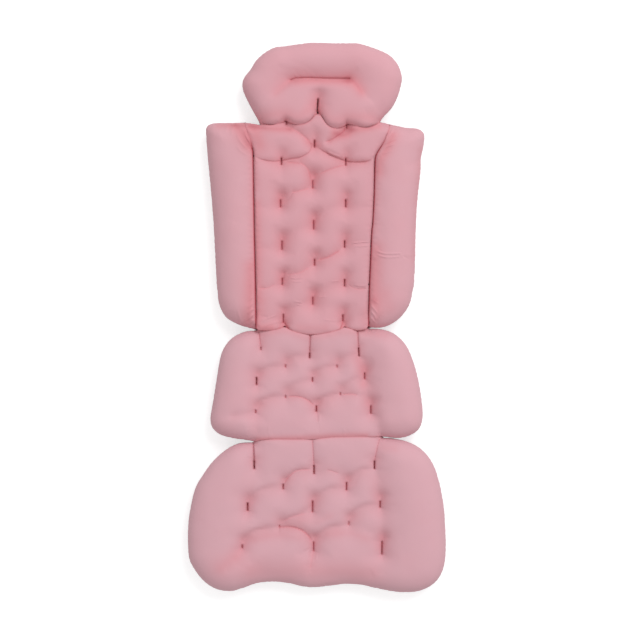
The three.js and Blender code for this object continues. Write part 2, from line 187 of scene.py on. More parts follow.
legSeam = [(381.7, 436.8), (379, 435.9), (345, 436.4), (332, 436.6), (310, 438.6), (273.3, 438.7)]
legSeam += [(259.4, 439.7), (254.2, 441.6)]
seamGap = 0.1  # half the gap between two sections, in pixels
seamFade = (153, 140, 0.85)  # the wing seams run out here: from, to, and how much of the groove closes
seamTop = [(photo["y"] - y) * photo["perPixel"] for y in seamFade[:2]]
wingSeamLength = 200 * mm  # a sewn run that spans more than this from head to foot is a wing's seam
headSeamFrom = 200 * mm  # and one that lies above this is the head's


def shifted(points, dx, dy):
    return [(x + dx * seamGap, y + dy * seamGap) for x, y in points]


# Every section's places are in pixels of the photograph:
# "tufts" are short bar tacks: x, y, half their length, and how deep the hollow round them is as a share
# "slits" are longer ones, each a line
# "channels" are sewn lines that draw the cloth in: a line and its depth in mm
# "valleys" are soft hollows in the filling: a line, its depth as a share of the height, and its width in mm
# on the left and on the right of the line's direction
# "creases" are sharp: a line, its depth in mm, and how much higher the cloth stands on its left, in mm
# "ridges" are small raised wrinkles: a line, and how tall and wide it is in mm
# painted shade: lines that only darken the cloth's colour where shade falls, each a line, a strength and a
# width in mm
# "reach" is how far from an edge the cloth is at its full height, which is "above" and "below" the seams,
# "lobes" squares a sewn edge and closes part of its groove, "middle" lowers the tufted part between the
# plump lobes (front, back, and from where to where it changes), "warmth" is how far the whole section's
# colour starts towards the darker pink, and "fill" is how firmly the section is stuffed
pillow = {
    "name": "pillow_cushion",
    "body": "head_pillow",
    "nodes": "pillow",
    "edges": [
        ("free", [
            (260, 124.6), (254.5, 114.1), (248.4, 103), (243.4, 91.8), (242.3, 84), (244.5, 77.3),
            (250.6, 69.5), (256.2, 60.6), (265.1, 52.7), (275.2, 47.5), (285.2, 46.3), (306.4, 43.3),
            (318.7, 42.9), (335.4, 43.4), (355.5, 43.4), (363.3, 44.9), (376.5, 49.2), (388, 54.5),
            (394.6, 60.4), (399.1, 67.3), (401.9, 77.3), (401.3, 84), (397.9, 96.3), (392.4, 107.4),
            (384.6, 116.4), (380.1, 121.9),
        ]),
        *[("sewn", shifted(run, 0, -1)) for run in pillowLobes],
    ],
    "reach": {"free": 30 * mm, "sewn": 12 * mm},
    "lobes": (3, 0.28),
    "above": 25 * mm,
    "below": 17 * mm,
    "slits": [[(318, 100.2), (317.6, 106), (317.3, 111.8)]],
    "channels": [([(291, 80.9), (293.5, 79.9), (297, 79.2), (307, 78.8), (325, 79.4), (349.3, 79.8)], 1.9)],
    "valleys": [
        ([(266, 101), (273.5, 94), (281.7, 87.3), (291, 81), (307, 78.8), (349.3, 79.8), (357.5, 85),
          (364, 92), (368, 99)], 0.34, 15, 7),
        ([(318, 88), (318, 100.2), (317.3, 111.8)], 0.24, 10, 10),
    ],
    "shades": [
        ([(349, 80.5), (355, 85), (361, 93)], 0.4, 8), ([(290, 82), (283, 88), (276, 95)], 0.15, 6),
        ([(296, 83), (320, 82.5), (347, 83.5)], 0.32, 7),
        ([(262, 118), (285, 115.5), (300, 118), (316, 107), (332, 121), (350, 118.5), (372, 119)], 0.2, 9),
    ],
    "warmth": 0.12,
    "fill": 0.85,
}
back = {
    "name": "back_cushion",
    "body": "back_panel",
    "nodes": "back",
    "edges": [
        ("free", [(244.6, 122.6), (252, 123.6), (260, 125)]),
        *[("sewn", shifted(run[::-1], 0, 1)) for run in pillowLobes[::-1]],
        ("free", [(380.1, 122.2), (385, 123.2), (389.5, 124.4)]),
        ("sewn", shifted(rightSeam, -1, 0)),
        *[("sewn", shifted(run, 0, -1)) for run in seatSeam],
        ("sewn", shifted(leftSeam[::-1], 1, 0)),
    ],
    "reach": {"free": 16 * mm, "sewn": 9 * mm},
    "above": 20 * mm,
    "below": 13 * mm,
    "tufts": [
        (286.7, 123.8, 1.2, 0.4), (346.5, 127.4, 1.2, 0.4), (314.4, 144.4, 3.1, 0.4),
        (281.4, 161.8, 3, 0.36), (345.6, 162.4, 3.2, 0.36), (312.6, 184.7, 3.6, 0.58),
        (280.5, 203.8, 3.3, 0.58), (345.5, 203.9, 3.3, 0.5), (313.5, 225.2, 4, 0.58),
        (281.9, 245.7, 4, 0.58), (344.4, 244.5, 3, 0.48), (314.4, 262.5, 2.7, 0.5),
        (282.2, 281.7, 3, 0.58), (344.4, 283.1, 3, 0.48), (312.7, 301, 3.4, 0.58),
        (283.3, 318.6, 3.8, 0.5), (342.7, 318.2, 2.8, 0.5),
    ],
    "valleys": [
        ([(286.5, 123), (292.2, 129.3), (299.2, 134), (305, 138.7), (311.5, 145)], 0.24, 9, 6),
        ([(346.7, 126.3), (343.5, 131.7), (337.7, 136.3), (330.7, 141), (322, 144)], 0.3, 7, 7),
        ([(253.5, 157), (264, 161), (275, 162.2), (288, 160.2), (300.5, 157.9), (310, 152.7), (313, 147)],
         0.2, 5, 9),
        ([(315.5, 147), (327.2, 153.8), (342.3, 160.5), (354, 162.8), (366.8, 162), (374.6, 158.5)],
         0.28, 5, 9),
        ([(345.2, 165), (332, 169.5), (320.3, 174.7), (312.7, 185)], 0.2, 8, 11),
        ([(281.6, 162), (294, 163.7), (302.4, 164.8), (308.5, 171), (312.7, 184)], 0.18, 10, 8),
        ([(312.7, 186), (299.8, 191.5), (291, 194), (280.4, 204)], 0.2, 11, 8),
        ([(345.6, 205), (333, 209), (321, 216), (313.4, 225)], 0.12, 12, 9),
        ([(313.4, 226), (301, 230), (290, 237), (281.9, 245.7)], 0.12, 12, 9),
        ([(344.4, 246), (337.9, 251.9), (329.1, 257.1), (321.8, 259.3), (314.5, 262.6)], 0.2, 11, 8),
        ([(314.5, 263), (304.9, 270.3), (299.7, 273.2), (291, 274.7), (282.2, 282)], 0.18, 11, 8),
        ([(344.4, 284), (333, 287), (322, 292), (312.7, 301)], 0.14, 12, 9),
        ([(312.7, 302), (301, 305), (291, 310), (283.4, 319)], 0.16, 11, 8),
        ([(312.7, 303), (325, 306), (335, 311), (342.6, 318)], 0.08, 10, 12),
        ([(283.4, 320), (286, 325.5), (289, 328.5)], 0.28, 5, 7),
        ([(342.6, 320), (343.5, 324), (345, 327)], 0.28, 7, 5),
        ([(281.9, 246), (270, 249), (256, 250)], 0.08, 8, 8),
        ([(282.2, 283), (272, 287), (257, 289)], 0.12, 7, 7),
        ([(344.4, 284), (356, 289), (369, 288.6)], 0.12, 7, 7),
        ([(280.4, 205), (268, 208), (255, 209)], 0.08, 9, 9),
        ([(345.6, 205), (358, 208), (373, 208)], 0.08, 9, 9),
        ([(344.4, 244), (356, 243), (371, 243)], 0.1, 7, 7),
        ([(342.6, 319), (355, 318), (368, 317)], 0.08, 8, 8),
        ([(283.4, 319), (270, 318), (257, 317)], 0.08, 8, 8),
    ],
    "creases": [
        ([(287.3, 124.3), (292.2, 129.3), (299.2, 134), (305, 138.3), (309.6, 142.8), (311.6, 147.2),
          (309.4, 152.6), (300.3, 157.9), (287.5, 160), (274.7, 162), (264.2, 160.8), (253.2, 156.6)],
         1.2, -1.5),
        ([(345.8, 127), (343.5, 131.7), (337.7, 136.3), (330.7, 141), (325, 143)], 1.8, 0),
        ([(315.8, 147.4), (321, 150.4), (327.2, 153.8), (342.3, 160.3), (354, 162.6), (366.8, 162),
          (373.8, 158.5)], 1.8, 2),
        ([(344.9, 165.4), (333, 169), (318.8, 175)], 1.5, 1.3),
        ([(284, 162.6), (294, 163.4), (302.4, 165), (308.5, 171), (310.6, 178), (312.2, 182)], 1.3, -1.4),
        ([(310.5, 188.5), (299.8, 191.5), (291, 193.7)], 1.2, 1.4),
        ([(341, 249.5), (337.9, 251.9), (329.1, 257.1), (321.8, 259.3), (317, 260.5)], 1.8, 1.5),
        ([(311, 267), (304.9, 270.3), (299.7, 273.2), (291, 274.7), (285, 275.5)], 0.8, 1),
        ([(275.5, 284.2), (269, 287.9), (258.7, 288.9)], 0.8, 0.7),
        ([(347, 284), (351, 287.1), (357, 289.3), (367.2, 288.6)], 0.9, -0.7),
        ([(284.3, 321.5), (286.5, 326), (290, 329)], 2, 1.4),
        ([(342.6, 321.5), (342, 325), (340.5, 328.5)], 2, -1.4),
    ],
    "ridges": [
        ([(350, 243.7), (360, 242.8), (371.5, 242.2)], 1.2, 1.2),
        ([(353, 247.2), (361, 246.8), (371, 246.2)], 0.9, 1.1),
        ([(326, 151.6), (334, 155.4), (342.5, 158)], 1.2, 1.3),
        ([(289, 277.8), (296, 278.8), (304, 277.6)], 0.8, 1.1),
        ([(290, 281.3), (297, 282.2), (304, 281.4)], 0.6, 1.1),
        ([(293, 301.4), (303, 302.8)], 0.6, 1.1),
        ([(296, 305), (304, 305.6)], 0.5, 1.1),
        ([(317, 297.5), (327, 296.6)], 0.6, 1.1),
        ([(330, 281.8), (340, 280.8)], 0.6, 1.1),
        ([(352, 285), (361, 286), (369, 285)], 0.6, 1.1),
        ([(259, 322), (268, 318.6), (279, 314)], 0.8, 1.2),
        ([(263, 327), (272, 323.5), (281, 321)], 0.7, 1.2),
        ([(321, 319.6), (332, 320.6), (340, 320.6)], 0.6, 1.2),
    ],
    "shades": [
        ([(257.5, 312), (258, 322), (260, 327), (272, 327.5)], 0.35, 6),
        ([(365, 312), (364, 325)], 0.15, 6),
        ([(334, 134), (345, 136.5), (351, 132)], 0.35, 6),
        ([(250, 127), (270, 130), (290, 130.5)], 0.38, 5),
        ([(345, 129), (360, 131), (378, 127.5)], 0.3, 5),
        ([(308, 143.5), (318, 147)], 0.26, 6), ([(300, 328), (325, 328)], 0.15, 6),
        ([(257, 204), (258.3, 250), (259, 300)], 0.28, 7), ([(252, 127), (258, 137), (260, 146)], 0.3, 11),
        ([(256, 158), (256.5, 188)], 0.12, 6), ([(264, 313), (262, 303)], 0.12, 9),
    ],
    "warmth": 0.16,
    "fill": 0.75,
}
leftWing = {
    "name": "left_wing_cushion",
    "body": "left_wing",
    "nodes": "left_wing",
    "edges": [
        ("sewn", shifted(leftSeam, -1, 0)),
        ("free", [
            (256.1, 329.8), (247, 327.4), (236.7, 323.8), (225.8, 317), (219.4, 305), (216.9, 289.3),
            (215.4, 267.3), (213.2, 226), (211.2, 198), (208.1, 164.4), (205.9, 134.1), (207.2, 126.4),
            (214.7, 123.3), (233.7, 123), (244.5, 122.6),
        ]),
    ],
    "reach": {"free": 32 * mm, "sewn": 14 * mm},
    "above": 26.5 * mm,
    "below": 22 * mm,
    "creases": [([(252.4, 150.5), (249, 144), (246.4, 139), (244.5, 131)], 0.9, 0)],
    "ridges": [
        ([(254.5, 303), (251, 305.5), (248, 309)], 0.9, 1.2),
        ([(255, 308), (251, 311), (247.5, 315)], 1.1, 1.2),
        ([(255, 313.5), (251, 317), (248, 321)], 1.1, 1.2),
        ([(255.2, 319), (251.5, 322), (249, 326)], 1.1, 1.2),
        ([(254.5, 297), (251, 299), (248, 302)], 0.5, 1.2),
        ([(243, 325), (240, 317), (238, 308)], 0.6, 1.8),
        ([(251.5, 146), (246, 137), (243, 128)], 1, 1.4),
        ([(236, 124.5), (233, 131), (232, 139)], 0.5, 2.2),
        ([(229, 124.5), (227, 130), (226.5, 136)], 0.4, 2),
        ([(249, 152), (241, 143), (236, 133)], 0.6, 1.5),
        ([(252, 141), (248.5, 133), (247, 126)], 0.6, 1.2),
        ([(250, 158), (242, 153), (236, 146)], 0.45, 1.6),
    ],
    "shades": [
        ([(247, 127), (250, 138), (252.5, 150)], 0.3, 5), ([(236, 126), (242, 134), (248, 146)], 0.42, 11),
        ([(252, 154), (253, 226), (254, 262)], 0.2, 6), ([(219, 126.5), (244, 126.5)], 0.26, 5),
        ([(251.5, 268), (251, 285), (250.5, 305), (248.5, 321)], 0.42, 11),
    ],
    "warmth": 0.08,
    "fill": 0.95,
}
rightWing = {
    "name": "right_wing_cushion",
    "body": "right_wing",
    "nodes": "right_wing",
    "edges": [
        ("free", [
            (389.7, 124.4), (405.4, 127.6), (418, 129), (424.1, 134.3), (423.7, 145.3), (421.2, 158),
            (420.4, 176), (418, 196.7), (416.4, 224.5), (414.9, 274.7), (412.7, 292.3), (408.3, 306.9),
            (398, 319.6), (384.4, 327), (368.5, 328),
        ]),
        ("sewn", shifted(rightSeam[::-1], 1, 0)),
    ],
    "reach": {"free": 32 * mm, "sewn": 14 * mm},
    "above": 26.5 * mm,
    "below": 22 * mm,
    "valleys": [([(422, 163), (414, 165), (404, 166)], 0.05, 9, 9)],
    "creases": [([(380.5, 149), (388, 144.5), (397, 141)], 0.8, 0)],
    "ridges": [
        ([(372.5, 250), (384.8, 254.2), (404, 253.6)], 1, 1.2),
        ([(372.5, 253.8), (385, 257.8), (403, 257.2)], 0.8, 1.2),
        ([(378.6, 153.5), (386, 148.5), (396, 145)], 0.9, 1.5),
        ([(383.6, 147), (388, 141), (396, 134)], 0.9, 1.6),
        ([(369.6, 310.5), (373, 314), (376.5, 320)], 0.9, 1.3),
        ([(369.4, 316), (373, 320), (376, 325)], 0.9, 1.3),
        ([(369.6, 304.5), (373, 308), (378, 314.5)], 0.8, 1.4),
        ([(370, 325), (377, 316), (382, 307)], 0.5, 1.8),
        ([(397, 126.8), (396, 133), (394, 140)], 0.5, 2.2),
        ([(378, 158), (386, 154), (394, 152)], 0.5, 1.5),
        ([(387, 139), (391, 133), (393, 127)], 0.6, 1.3), ([(370, 299), (374, 301), (379, 305)], 0.5, 1.3),
    ],
    "shades": [
        ([(374, 303), (378, 313), (373, 323)], 0.26, 9),
        ([(392, 137), (387, 149), (380, 161), (378, 172)], 0.4, 9),
        ([(377, 178), (374.8, 232)], 0.16, 6), ([(421, 150), (418, 200), (415.5, 260)], 0.2, 6),
        ([(386, 294), (389, 308)], 0.14, 10),
        ([(374.5, 250), (373.5, 264), (373.5, 285), (373, 299)], 0.4, 13),
    ],
    "warmth": 0.08,
    "fill": 0.95,
}
seat = {
    "name": "seat_cushion",
    "body": "seat_pad",
    "nodes": "seat",
    "edges": [
        *[("sewn", shifted(run[::-1], 0, 1)) for run in seatSeam[::-1]],
        ("free", [
            (368.2, 328.3), (380.4, 329), (392.2, 332.6), (402.4, 340.7), (409.8, 352.4), (417.1, 374.4),
            (421.5, 399.3), (422.6, 417), (419, 428.7), (409.8, 435.3), (398, 438), (381.7, 436.6),
        ]),
        ("sewn", shifted(legSeam, 0, -1)),
        ("free", [
            (254.2, 441.4), (244, 439.7), (233.7, 438.2), (220.5, 434.6), (212.5, 427.7), (210.4, 418.4),
            (212.5, 403.7), (216.1, 381.7), (219.8, 359.7), (223.9, 348), (232, 338), (244, 331.8),
            (256.3, 330.1),
        ]),
    ],
    "reach": {"free": 30 * mm, "sewn": 9 * mm},
    "above": 26.5 * mm,
    "below": 22 * mm,
    "middle": (0.72, 0.59, 68 * mm, 108 * mm),
    "tufts": [
        (285.5, 365.9, 0.8, 0.34), (336.8, 366.1, 0.8, 0.34), (256.6, 380.9, 3.2, 0.36),
        (312.3, 379.4, 1.5, 0.36), (364.4, 375.8, 2.6, 0.44), (285.6, 396.5, 0.8, 0.3),
        (340.2, 393.6, 0.8, 0.3), (255.8, 411.1, 1, 0.3), (316.2, 408.5, 2.4, 0.42),
        (370.6, 409.4, 3.4, 0.44), (261, 348.4, 0.9, 0.2),
    ],
    "slits": [
        [(309.7, 353.6), (309.6, 355.6), (309.6, 357.6)],
        [(358.4, 348.4), (358.6, 352), (358.8, 355.6)],
    ],
    "channels": [
        ([(259, 331.8), (260.3, 341), (260.8, 346)], 1.3),
        ([(310.2, 335.2), (309.8, 346), (309.7, 353.6)], 2.6),
        ([(357.4, 331), (357.9, 340), (358.4, 348.4)], 2),
    ],
    "valleys": [
        ([(285, 365.6), (291, 359), (297, 356), (309.6, 357.2)], 0.16, 5, 12),
        ([(309.6, 357.2), (322, 357), (331, 360), (336.9, 365.9)], 0.06, 10, 10),
        ([(336.9, 365.9), (341, 360), (348, 356), (358.9, 354)], 0.16, 5, 12),
        ([(312.2, 379.5), (317, 371.5), (326, 367), (336.9, 365.9)], 0.2, 5, 13),
        ([(256.5, 381), (263, 371), (273, 366.6), (285, 365.6)], 0.18, 5, 13),
        ([(285.5, 396.4), (290, 388), (297, 383), (312.2, 379.5)], 0.14, 5, 13),
        ([(340.4, 393.8), (346, 385), (352, 380), (364.3, 376.6)], 0.14, 5, 13),
        ([(255.7, 411), (261, 402), (272, 397), (285.5, 396.4)], 0.24, 5, 12),
        ([(285.5, 396.4), (294, 396), (302.7, 397.4), (310, 401.5), (315.9, 408.1)], 0.22, 9, 7),
        ([(315.9, 408), (320, 401), (328, 396), (340.4, 393.8)], 0.24, 5, 12),
        ([(340.4, 393.8), (351.1, 393.8), (362, 396.5), (370.9, 410.3)], 0.16, 9, 8),
        ([(255.7, 412), (246, 414), (236, 415), (228, 416)], 0.1, 7, 7),
        ([(260.9, 349.5), (258, 364), (256.5, 381)], 0.08, 10, 12),
        ([(358.9, 353.9), (362, 364), (364.3, 376.6)], 0.23, 12, 10),
        ([(256.5, 381), (255.5, 396), (255.7, 411)], 0.08, 10, 12),
        ([(364.3, 376.6), (368, 393), (370.9, 410.3)], 0.22, 12, 10),
        ([(370.9, 410.3), (377, 422), (380, 435)], 0.12, 8, 8),
        ([(255.7, 411), (256, 425), (256, 438)], 0.12, 8, 8),
    ],
    "creases": [
        ([(286, 396.6), (294, 396), (302.7, 397.4), (310, 401.5), (315, 406.4)], 1.6, -1.6),
        ([(341, 394.2), (351.1, 393.8), (358.4, 394.9)], 1.3, -1),
        ([(316, 409), (317.3, 415), (317.6, 422)], 0.7, 0),
    ],
    "ridges": [
        ([(319.3, 413), (319.6, 418), (319.2, 424)], 0.5, 1.2),
        ([(268, 434.5), (269, 429), (268.5, 424)], 0.35, 1.6),
        ([(345, 433), (344, 428)], 0.3, 1.6),
        ([(245, 437), (247, 431), (250, 427)], 0.4, 1.6),
    ],
    "shades": [
        ([(258, 438.5), (310, 436.5), (345, 434.5), (366, 434.5)], 0.32, 4),
        ([(262, 335), (285, 331), (310, 337.5), (345, 332), (368, 333), (385, 335)], 0.15, 6),
        ([(357, 357), (362, 369), (363, 384)], 0.15, 8),
    ],
    "warmth": 0.03,
    "fill": 0.8,
}
legs = {
    "name": "leg_cushion",
    "body": "leg_pad",
    "nodes": "legs",
    "edges": [
        ("sewn", shifted(legSeam[::-1], 0, 1)),
        ("free", [
            (381.7, 437), (395.3, 438.6), (409, 442.1), (421.1, 448.9), (431.4, 461), (438.3, 478.2),
            (443.5, 504), (445.2, 526.4), (445.8, 550.5), (443, 569.2), (434.9, 582.3), (421.1, 590.1),
            (405.6, 592.2), (390.1, 591), (374.6, 588.1), (360.8, 585), (345.3, 584.1), (331.5, 585.8),
            (316, 587.6), (304, 587), (290.2, 583.8), (274.7, 581.9), (257.5, 583.3), (242, 588.4),
            (229.9, 591), (215.4, 588.4), (202.9, 579.8), (192.7, 566), (188.6, 554), (188.1, 526.4),
            (191.2, 504), (195.9, 486.8), (202.9, 474.8), (212.4, 461.7), (225.4, 449.9),
            (238.5, 443.3), (254.2, 441.9),
        ]),
    ],
    "reach": {"free": 34 * mm, "sewn": 9 * mm},
    "above": 26.5 * mm,
    "below": 22 * mm,
    "middle": (0.72, 0.59, 75 * mm, 125 * mm),
    "tufts": [
        (283.2, 486, 2, 0.36), (346.3, 485.9, 3.4, 0.42), (247.7, 506.2, 3.4, 0.42),
        (312.5, 506, 5.1, 0.46), (379.9, 503.8, 2.7, 0.44), (279.6, 525.8, 0.8, 0.3),
        (348.6, 522.6, 1.2, 0.36), (242.3, 545.6, 1.2, 0.4), (313.5, 545.9, 4.2, 0.5),
        (381.7, 547.2, 6, 0.5),
    ],
    "slits": [
        [(254.2, 461), (254.3, 464.5), (254.4, 467.6)], [(313.9, 465.5), (314, 469), (314, 472.8)],
        [(374.2, 461), (374.2, 464.5), (374.2, 467.9)],
    ],
    "channels": [
        ([(253.4, 443), (253.9, 452), (254.2, 461)], 4.4),
        ([(312.6, 440), (313.2, 452), (313.9, 465.5)], 0.9),
        ([(379.4, 438.8), (377.4, 445), (375.4, 455), (374.2, 461)], 0.8),
    ],
    "valleys": [
        ([(283, 486), (288.5, 476.5), (297.1, 470), (307.4, 468.9), (314, 470)], 0.24, 5, 13),
        ([(314, 471), (331.5, 470), (339.3, 473.7), (346.2, 486.8)], 0.12, 9, 9),
        ([(247.7, 506.6), (255, 494), (267, 487), (283, 486)], 0.2, 5, 14),
        ([(312.3, 506.6), (319, 495), (330, 488), (346.2, 486.8)], 0.2, 5, 14),
        ([(346.2, 486.8), (352, 476), (361, 470), (374.3, 468)], 0.22, 5, 14),
        ([(278.2, 526.8), (283.3, 520.4), (291.9, 516.1), (300, 513), (312.3, 506.6)], 0.2, 5, 12),
        ([(347.9, 523.9), (352, 513), (363, 506), (379.8, 503.2)], 0.22, 5, 14),
        ([(242.9, 544.5), (249, 534), (261, 528), (278.2, 526.8)], 0.26, 5, 14),
        ([(278.2, 526.8), (290.2, 526.1), (300.5, 529), (308.3, 535), (313.8, 544.5)], 0.28, 9, 7),
        ([(313.8, 544.5), (319, 534), (330, 527), (347.9, 523.9)], 0.26, 5, 14),
        ([(347.9, 524), (362, 527), (373, 535), (381.5, 547)], 0.08, 12, 10),
        ([(254.4, 467), (251, 486), (247.7, 506.6)], 0.08, 10, 12),
        ([(247.7, 506.6), (244, 525), (242.9, 544.5)], 0.1, 10, 12),
        ([(374.3, 468), (377, 486), (379.8, 503.2)], 0.19, 12, 10),
        ([(379.8, 503.2), (382, 525), (381.5, 548.8)], 0.17, 12, 10),
        ([(313.8, 545.5), (313, 556), (310, 570)], 0.12, 6, 6),
        ([(242.9, 545), (238, 553), (232, 560)], 0.1, 9, 9),
    ],
    "creases": [
        ([(283.5, 484.5), (288.5, 476.5), (297.1, 470), (307.4, 468.9), (313, 469.6)], 1, -1.2),
        ([(326, 469), (331.5, 470), (339.3, 472.9)], 1, 0),
        ([(277, 526.9), (290.2, 526.1), (300.5, 529), (308.3, 535), (312.8, 542.2)], 2.2, -2.2),
        ([(283.3, 520.4), (291.9, 516.1), (307.4, 512.3)], 0.7, -0.7),
        ([(313.8, 549), (312.5, 556), (310, 568)], 0.7, 0),
    ],
    "ridges": [
        ([(308.5, 548), (308, 556), (306.5, 564)], 0.45, 1.4),
        ([(316.5, 552), (316, 560)], 0.4, 1.4),
        ([(246, 446), (248, 453), (250, 459)], 0.35, 1.8),
    ],
    "shades": [
        ([(300, 519), (316, 521), (330, 515)], 0.12, 8), ([(252, 569), (316, 569), (372, 571)], 0.17, 18),
        ([(222, 566), (236, 555)], 0.22, 13), ([(255, 538), (275, 534), (300, 537)], 0.14, 7),
        ([(328, 533), (350, 532), (365, 537)], 0.14, 7), ([(384, 447), (394, 448)], 0.12, 7),
    ],
    "warmth": 0.0,
    "fill": 0.8,
}
sections = [pillow, back, leftWing, rightWing, seat, legs]

# How every section is cut, pulled in at its tufts and filled
making = {
    "step": 4.6 * mm,  # the cloth's grid
    "fine": 2.2 * mm,  # within reach of tufts, sewn lines and creases
    "finest": 1.25 * mm,  # right beside them
    "fineReach": 6 * mm,
    "finestReach": 2.6 * mm,
    "apart": {"outline": 0.5, "finest": 0.55, "coarse": 0.35},  # steps kept free beside other points
    "outlineStep": 0.75,  # the outline's points, as a share of the grid's step
    "rings": (0.25 * mm, 0.5 * mm, 1.3 * mm, 2.5 * mm, 3.9 * mm),  # rows close to the outline
    "ringCrowd": 0.9,  # a ring's point nearer the outline than this share of its distance is left out
    "halfway": (0.4 * mm, 0.55),  # at a seam, rows this close only rise this share of their height
    "press": (0.9 * mm, 0.25 * mm),  # rows this close to a seam lean over it by this much
    "pinned": 0.8 * mm,  # and the rows up to this far beyond them are held while the filling swells
    "squareness": {"free": 2, "sewn": 5},
    "closed": (0.62, 0.42),  # how much of the groove closes at the head's seam and at the lower ones
    "edgeDense": 1.7,  # how much the grid closes up at the outline
    "edgeBand": 20 * mm,
    "tuftWidth": 10 * mm,  # reach of the hollow round a tuft
    "tuftAbove": (1.2, 5),  # and how far it runs on to the right and up, in pixels
    "tuftHold": (0.25, 3.5),  # a tuft holds by this share, and more by its half length over this
    "tuftPleat": (7, 15, 0.07, 5),  # the pleat down from a tuft: pixels above, below, depth share, width
    "pleatFrom": 2.5,  # for tufts with a longer half than this
    "slitHollow": 0.26,
    "channelDip": (0.18, 6 * mm),
    "valleyEnds": (0.35, 0.25),  # a valley's depth at its ends, and where it is in full
    "backShare": 0.4,  # how deep the valleys are on the back
    "cupFlat": (12.5 * mm, 9 * mm, 0.4 * mm),  # the back over a cup is flat: radius, slope and clearance
}
# the points along each kind of line are this far apart
lineSteps = {
    "slits": 1.1 * making["finest"],
    "hollows": 2 * mm,
    "channels": 1.6 * making["finest"],
    "valleys": 3 * mm,
    "creases": 1.6 * making["finest"],
    "ridges": 1.6 * making["finest"],
    "shades": 2 * mm,
}
# how steeply each effect falls off beside its line, and to how many widths it is worked out
steepness = {"tuft": 1.4, "channel": 1.25, "valley": 1.7}
steepness |= {"sewn": 1.5, "crease": 1.3, "ridge": 2, "shade": 1.6}
wideTail, shortTail = 3.5, 3
touching = 1e-6  # metres
cups = {
    name.replace("_cup_holder", ""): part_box(name) for name in frame["nodes"] if name.endswith("_cup_holder")
}


def fading(far, width, power=1):
    # from 1 on a line to nearly 0 at a few widths
    return np.exp(-((far / width) ** power))


def runIn(along, share):
    # from 0 at a line's ends to 1 within this share of its length
    return ease(np.minimum(along, 1 - along) / share)


def isWingSeam(run):
    return np.ptp(run[:, 1]) > wingSeamLength


def runningOut(y):
    # from 0 where a wing seam is deep to 1 at its top
    return ease((y - seamTop[0]) / (seamTop[1] - seamTop[0]))


def edgeLoop(piece):
    step = making["step"] * making["outlineStep"]
    runs = [(kind, spline(place(points), step)) for kind, points in piece["edges"]]
    loop = np.vstack([run[:-1] for kind, run in runs])
    kinds = {kind: [run for k, run in runs if k == kind] for kind in ("free", "sewn")}
    return loop, kinds


def warp(points, loop, inward):
    # closes the grid up towards the outline, and inward=False undoes it
    band = making["edgeBand"]
    least = touching / 10
    far, foot, side, along = nearest(points, loop, True)
    power = making["edgeDense"] if inward else 1 / making["edgeDense"]
    moved = band * np.clip(far / band, 0, 1) ** power
    scale = np.where((far < band) & (far > least), moved / np.maximum(far, least), 1)
    return foot + (points - foot) * scale[:, None]


def ringPoints(loop):
    # rows of points just inside the outline, left out where they would crowd in a corner
    way = np.roll(loop, -1, axis=0) - np.roll(loop, 1, axis=0)
    way /= np.linalg.norm(way, axis=1)[:, None]
    across = np.column_stack([-way[:, 1], way[:, 0]])
    if not inside((loop + across * 0.1 * mm)[:1], loop)[0]:
        across = -across
    rows = []
    for gap in making["rings"]:
        row = loop + across * gap
        rows.append(row[inside(row, loop) & (nearest(row, loop, True)[0] > making["ringCrowd"] * gap)])
    return np.vstack(rows)


def lattice(pitch, loop, lines, first, last):
    # a grid of triangles in the outline, between two distances from the lines
    low, high = loop.min(0), loop.max(0)
    cells = []
    for j, y in enumerate(np.arange(low[1] + pitch / 2, high[1], pitch * math.sqrt(0.75))):
        xs = np.arange(low[0] + (j % 2) * pitch / 2, high[0], pitch)
        cells.append(np.column_stack([xs, np.full(len(xs), y)]))
    cells = np.vstack(cells)
    if last is not None:
        far = leastDistance(cells, lines, last)
        cells = cells[(far < last) & (far > first)]
    elif lines:
        cells = cells[leastDistance(cells, lines, first) >= first]
    cells = cells[inside(cells, loop)]
    clear = max(making["rings"]) + making["apart"]["outline"] * pitch
    return cells[nearest(cells, loop, True)[0] > clear]


def cutPattern(loop, lines):
    # the flat pattern of a section, finer near its lines and with an edge along each
    step, fine, finest, apart = making["step"], making["fine"], making["finest"], making["apart"]
    verts, edges = [], []
    for k, line in enumerate([loop] + lines):
        base, count = len(verts), len(line)
        verts += [tuple(v) for v in line]
        edges += [(base + i, base + (i + 1) % count) for i in range(count if k == 0 else count - 1)]
    grids = [(step, making["fineReach"] + apart["coarse"] * step, None)]
    if lines:
        near = (finest, apart["finest"] * finest, making["finestReach"])
        grids = [near, (fine, making["finestReach"] + apart["coarse"] * fine, making["fineReach"])] + grids
    for pitch, first, last in grids:
        verts += [tuple(v) for v in lattice(pitch, loop, lines, first, last)]
    verts += [tuple(v) for v in ringPoints(loop)]
    out = delaunay_2d_cdt([Vector(v) for v in verts], edges, [list(range(len(loop)))], 1, touching / 10)
    points = np.array([tuple(v) for v in out[0]])
    faces = np.array([f for f in out[2] if len(f) == 3])
    return points, faces


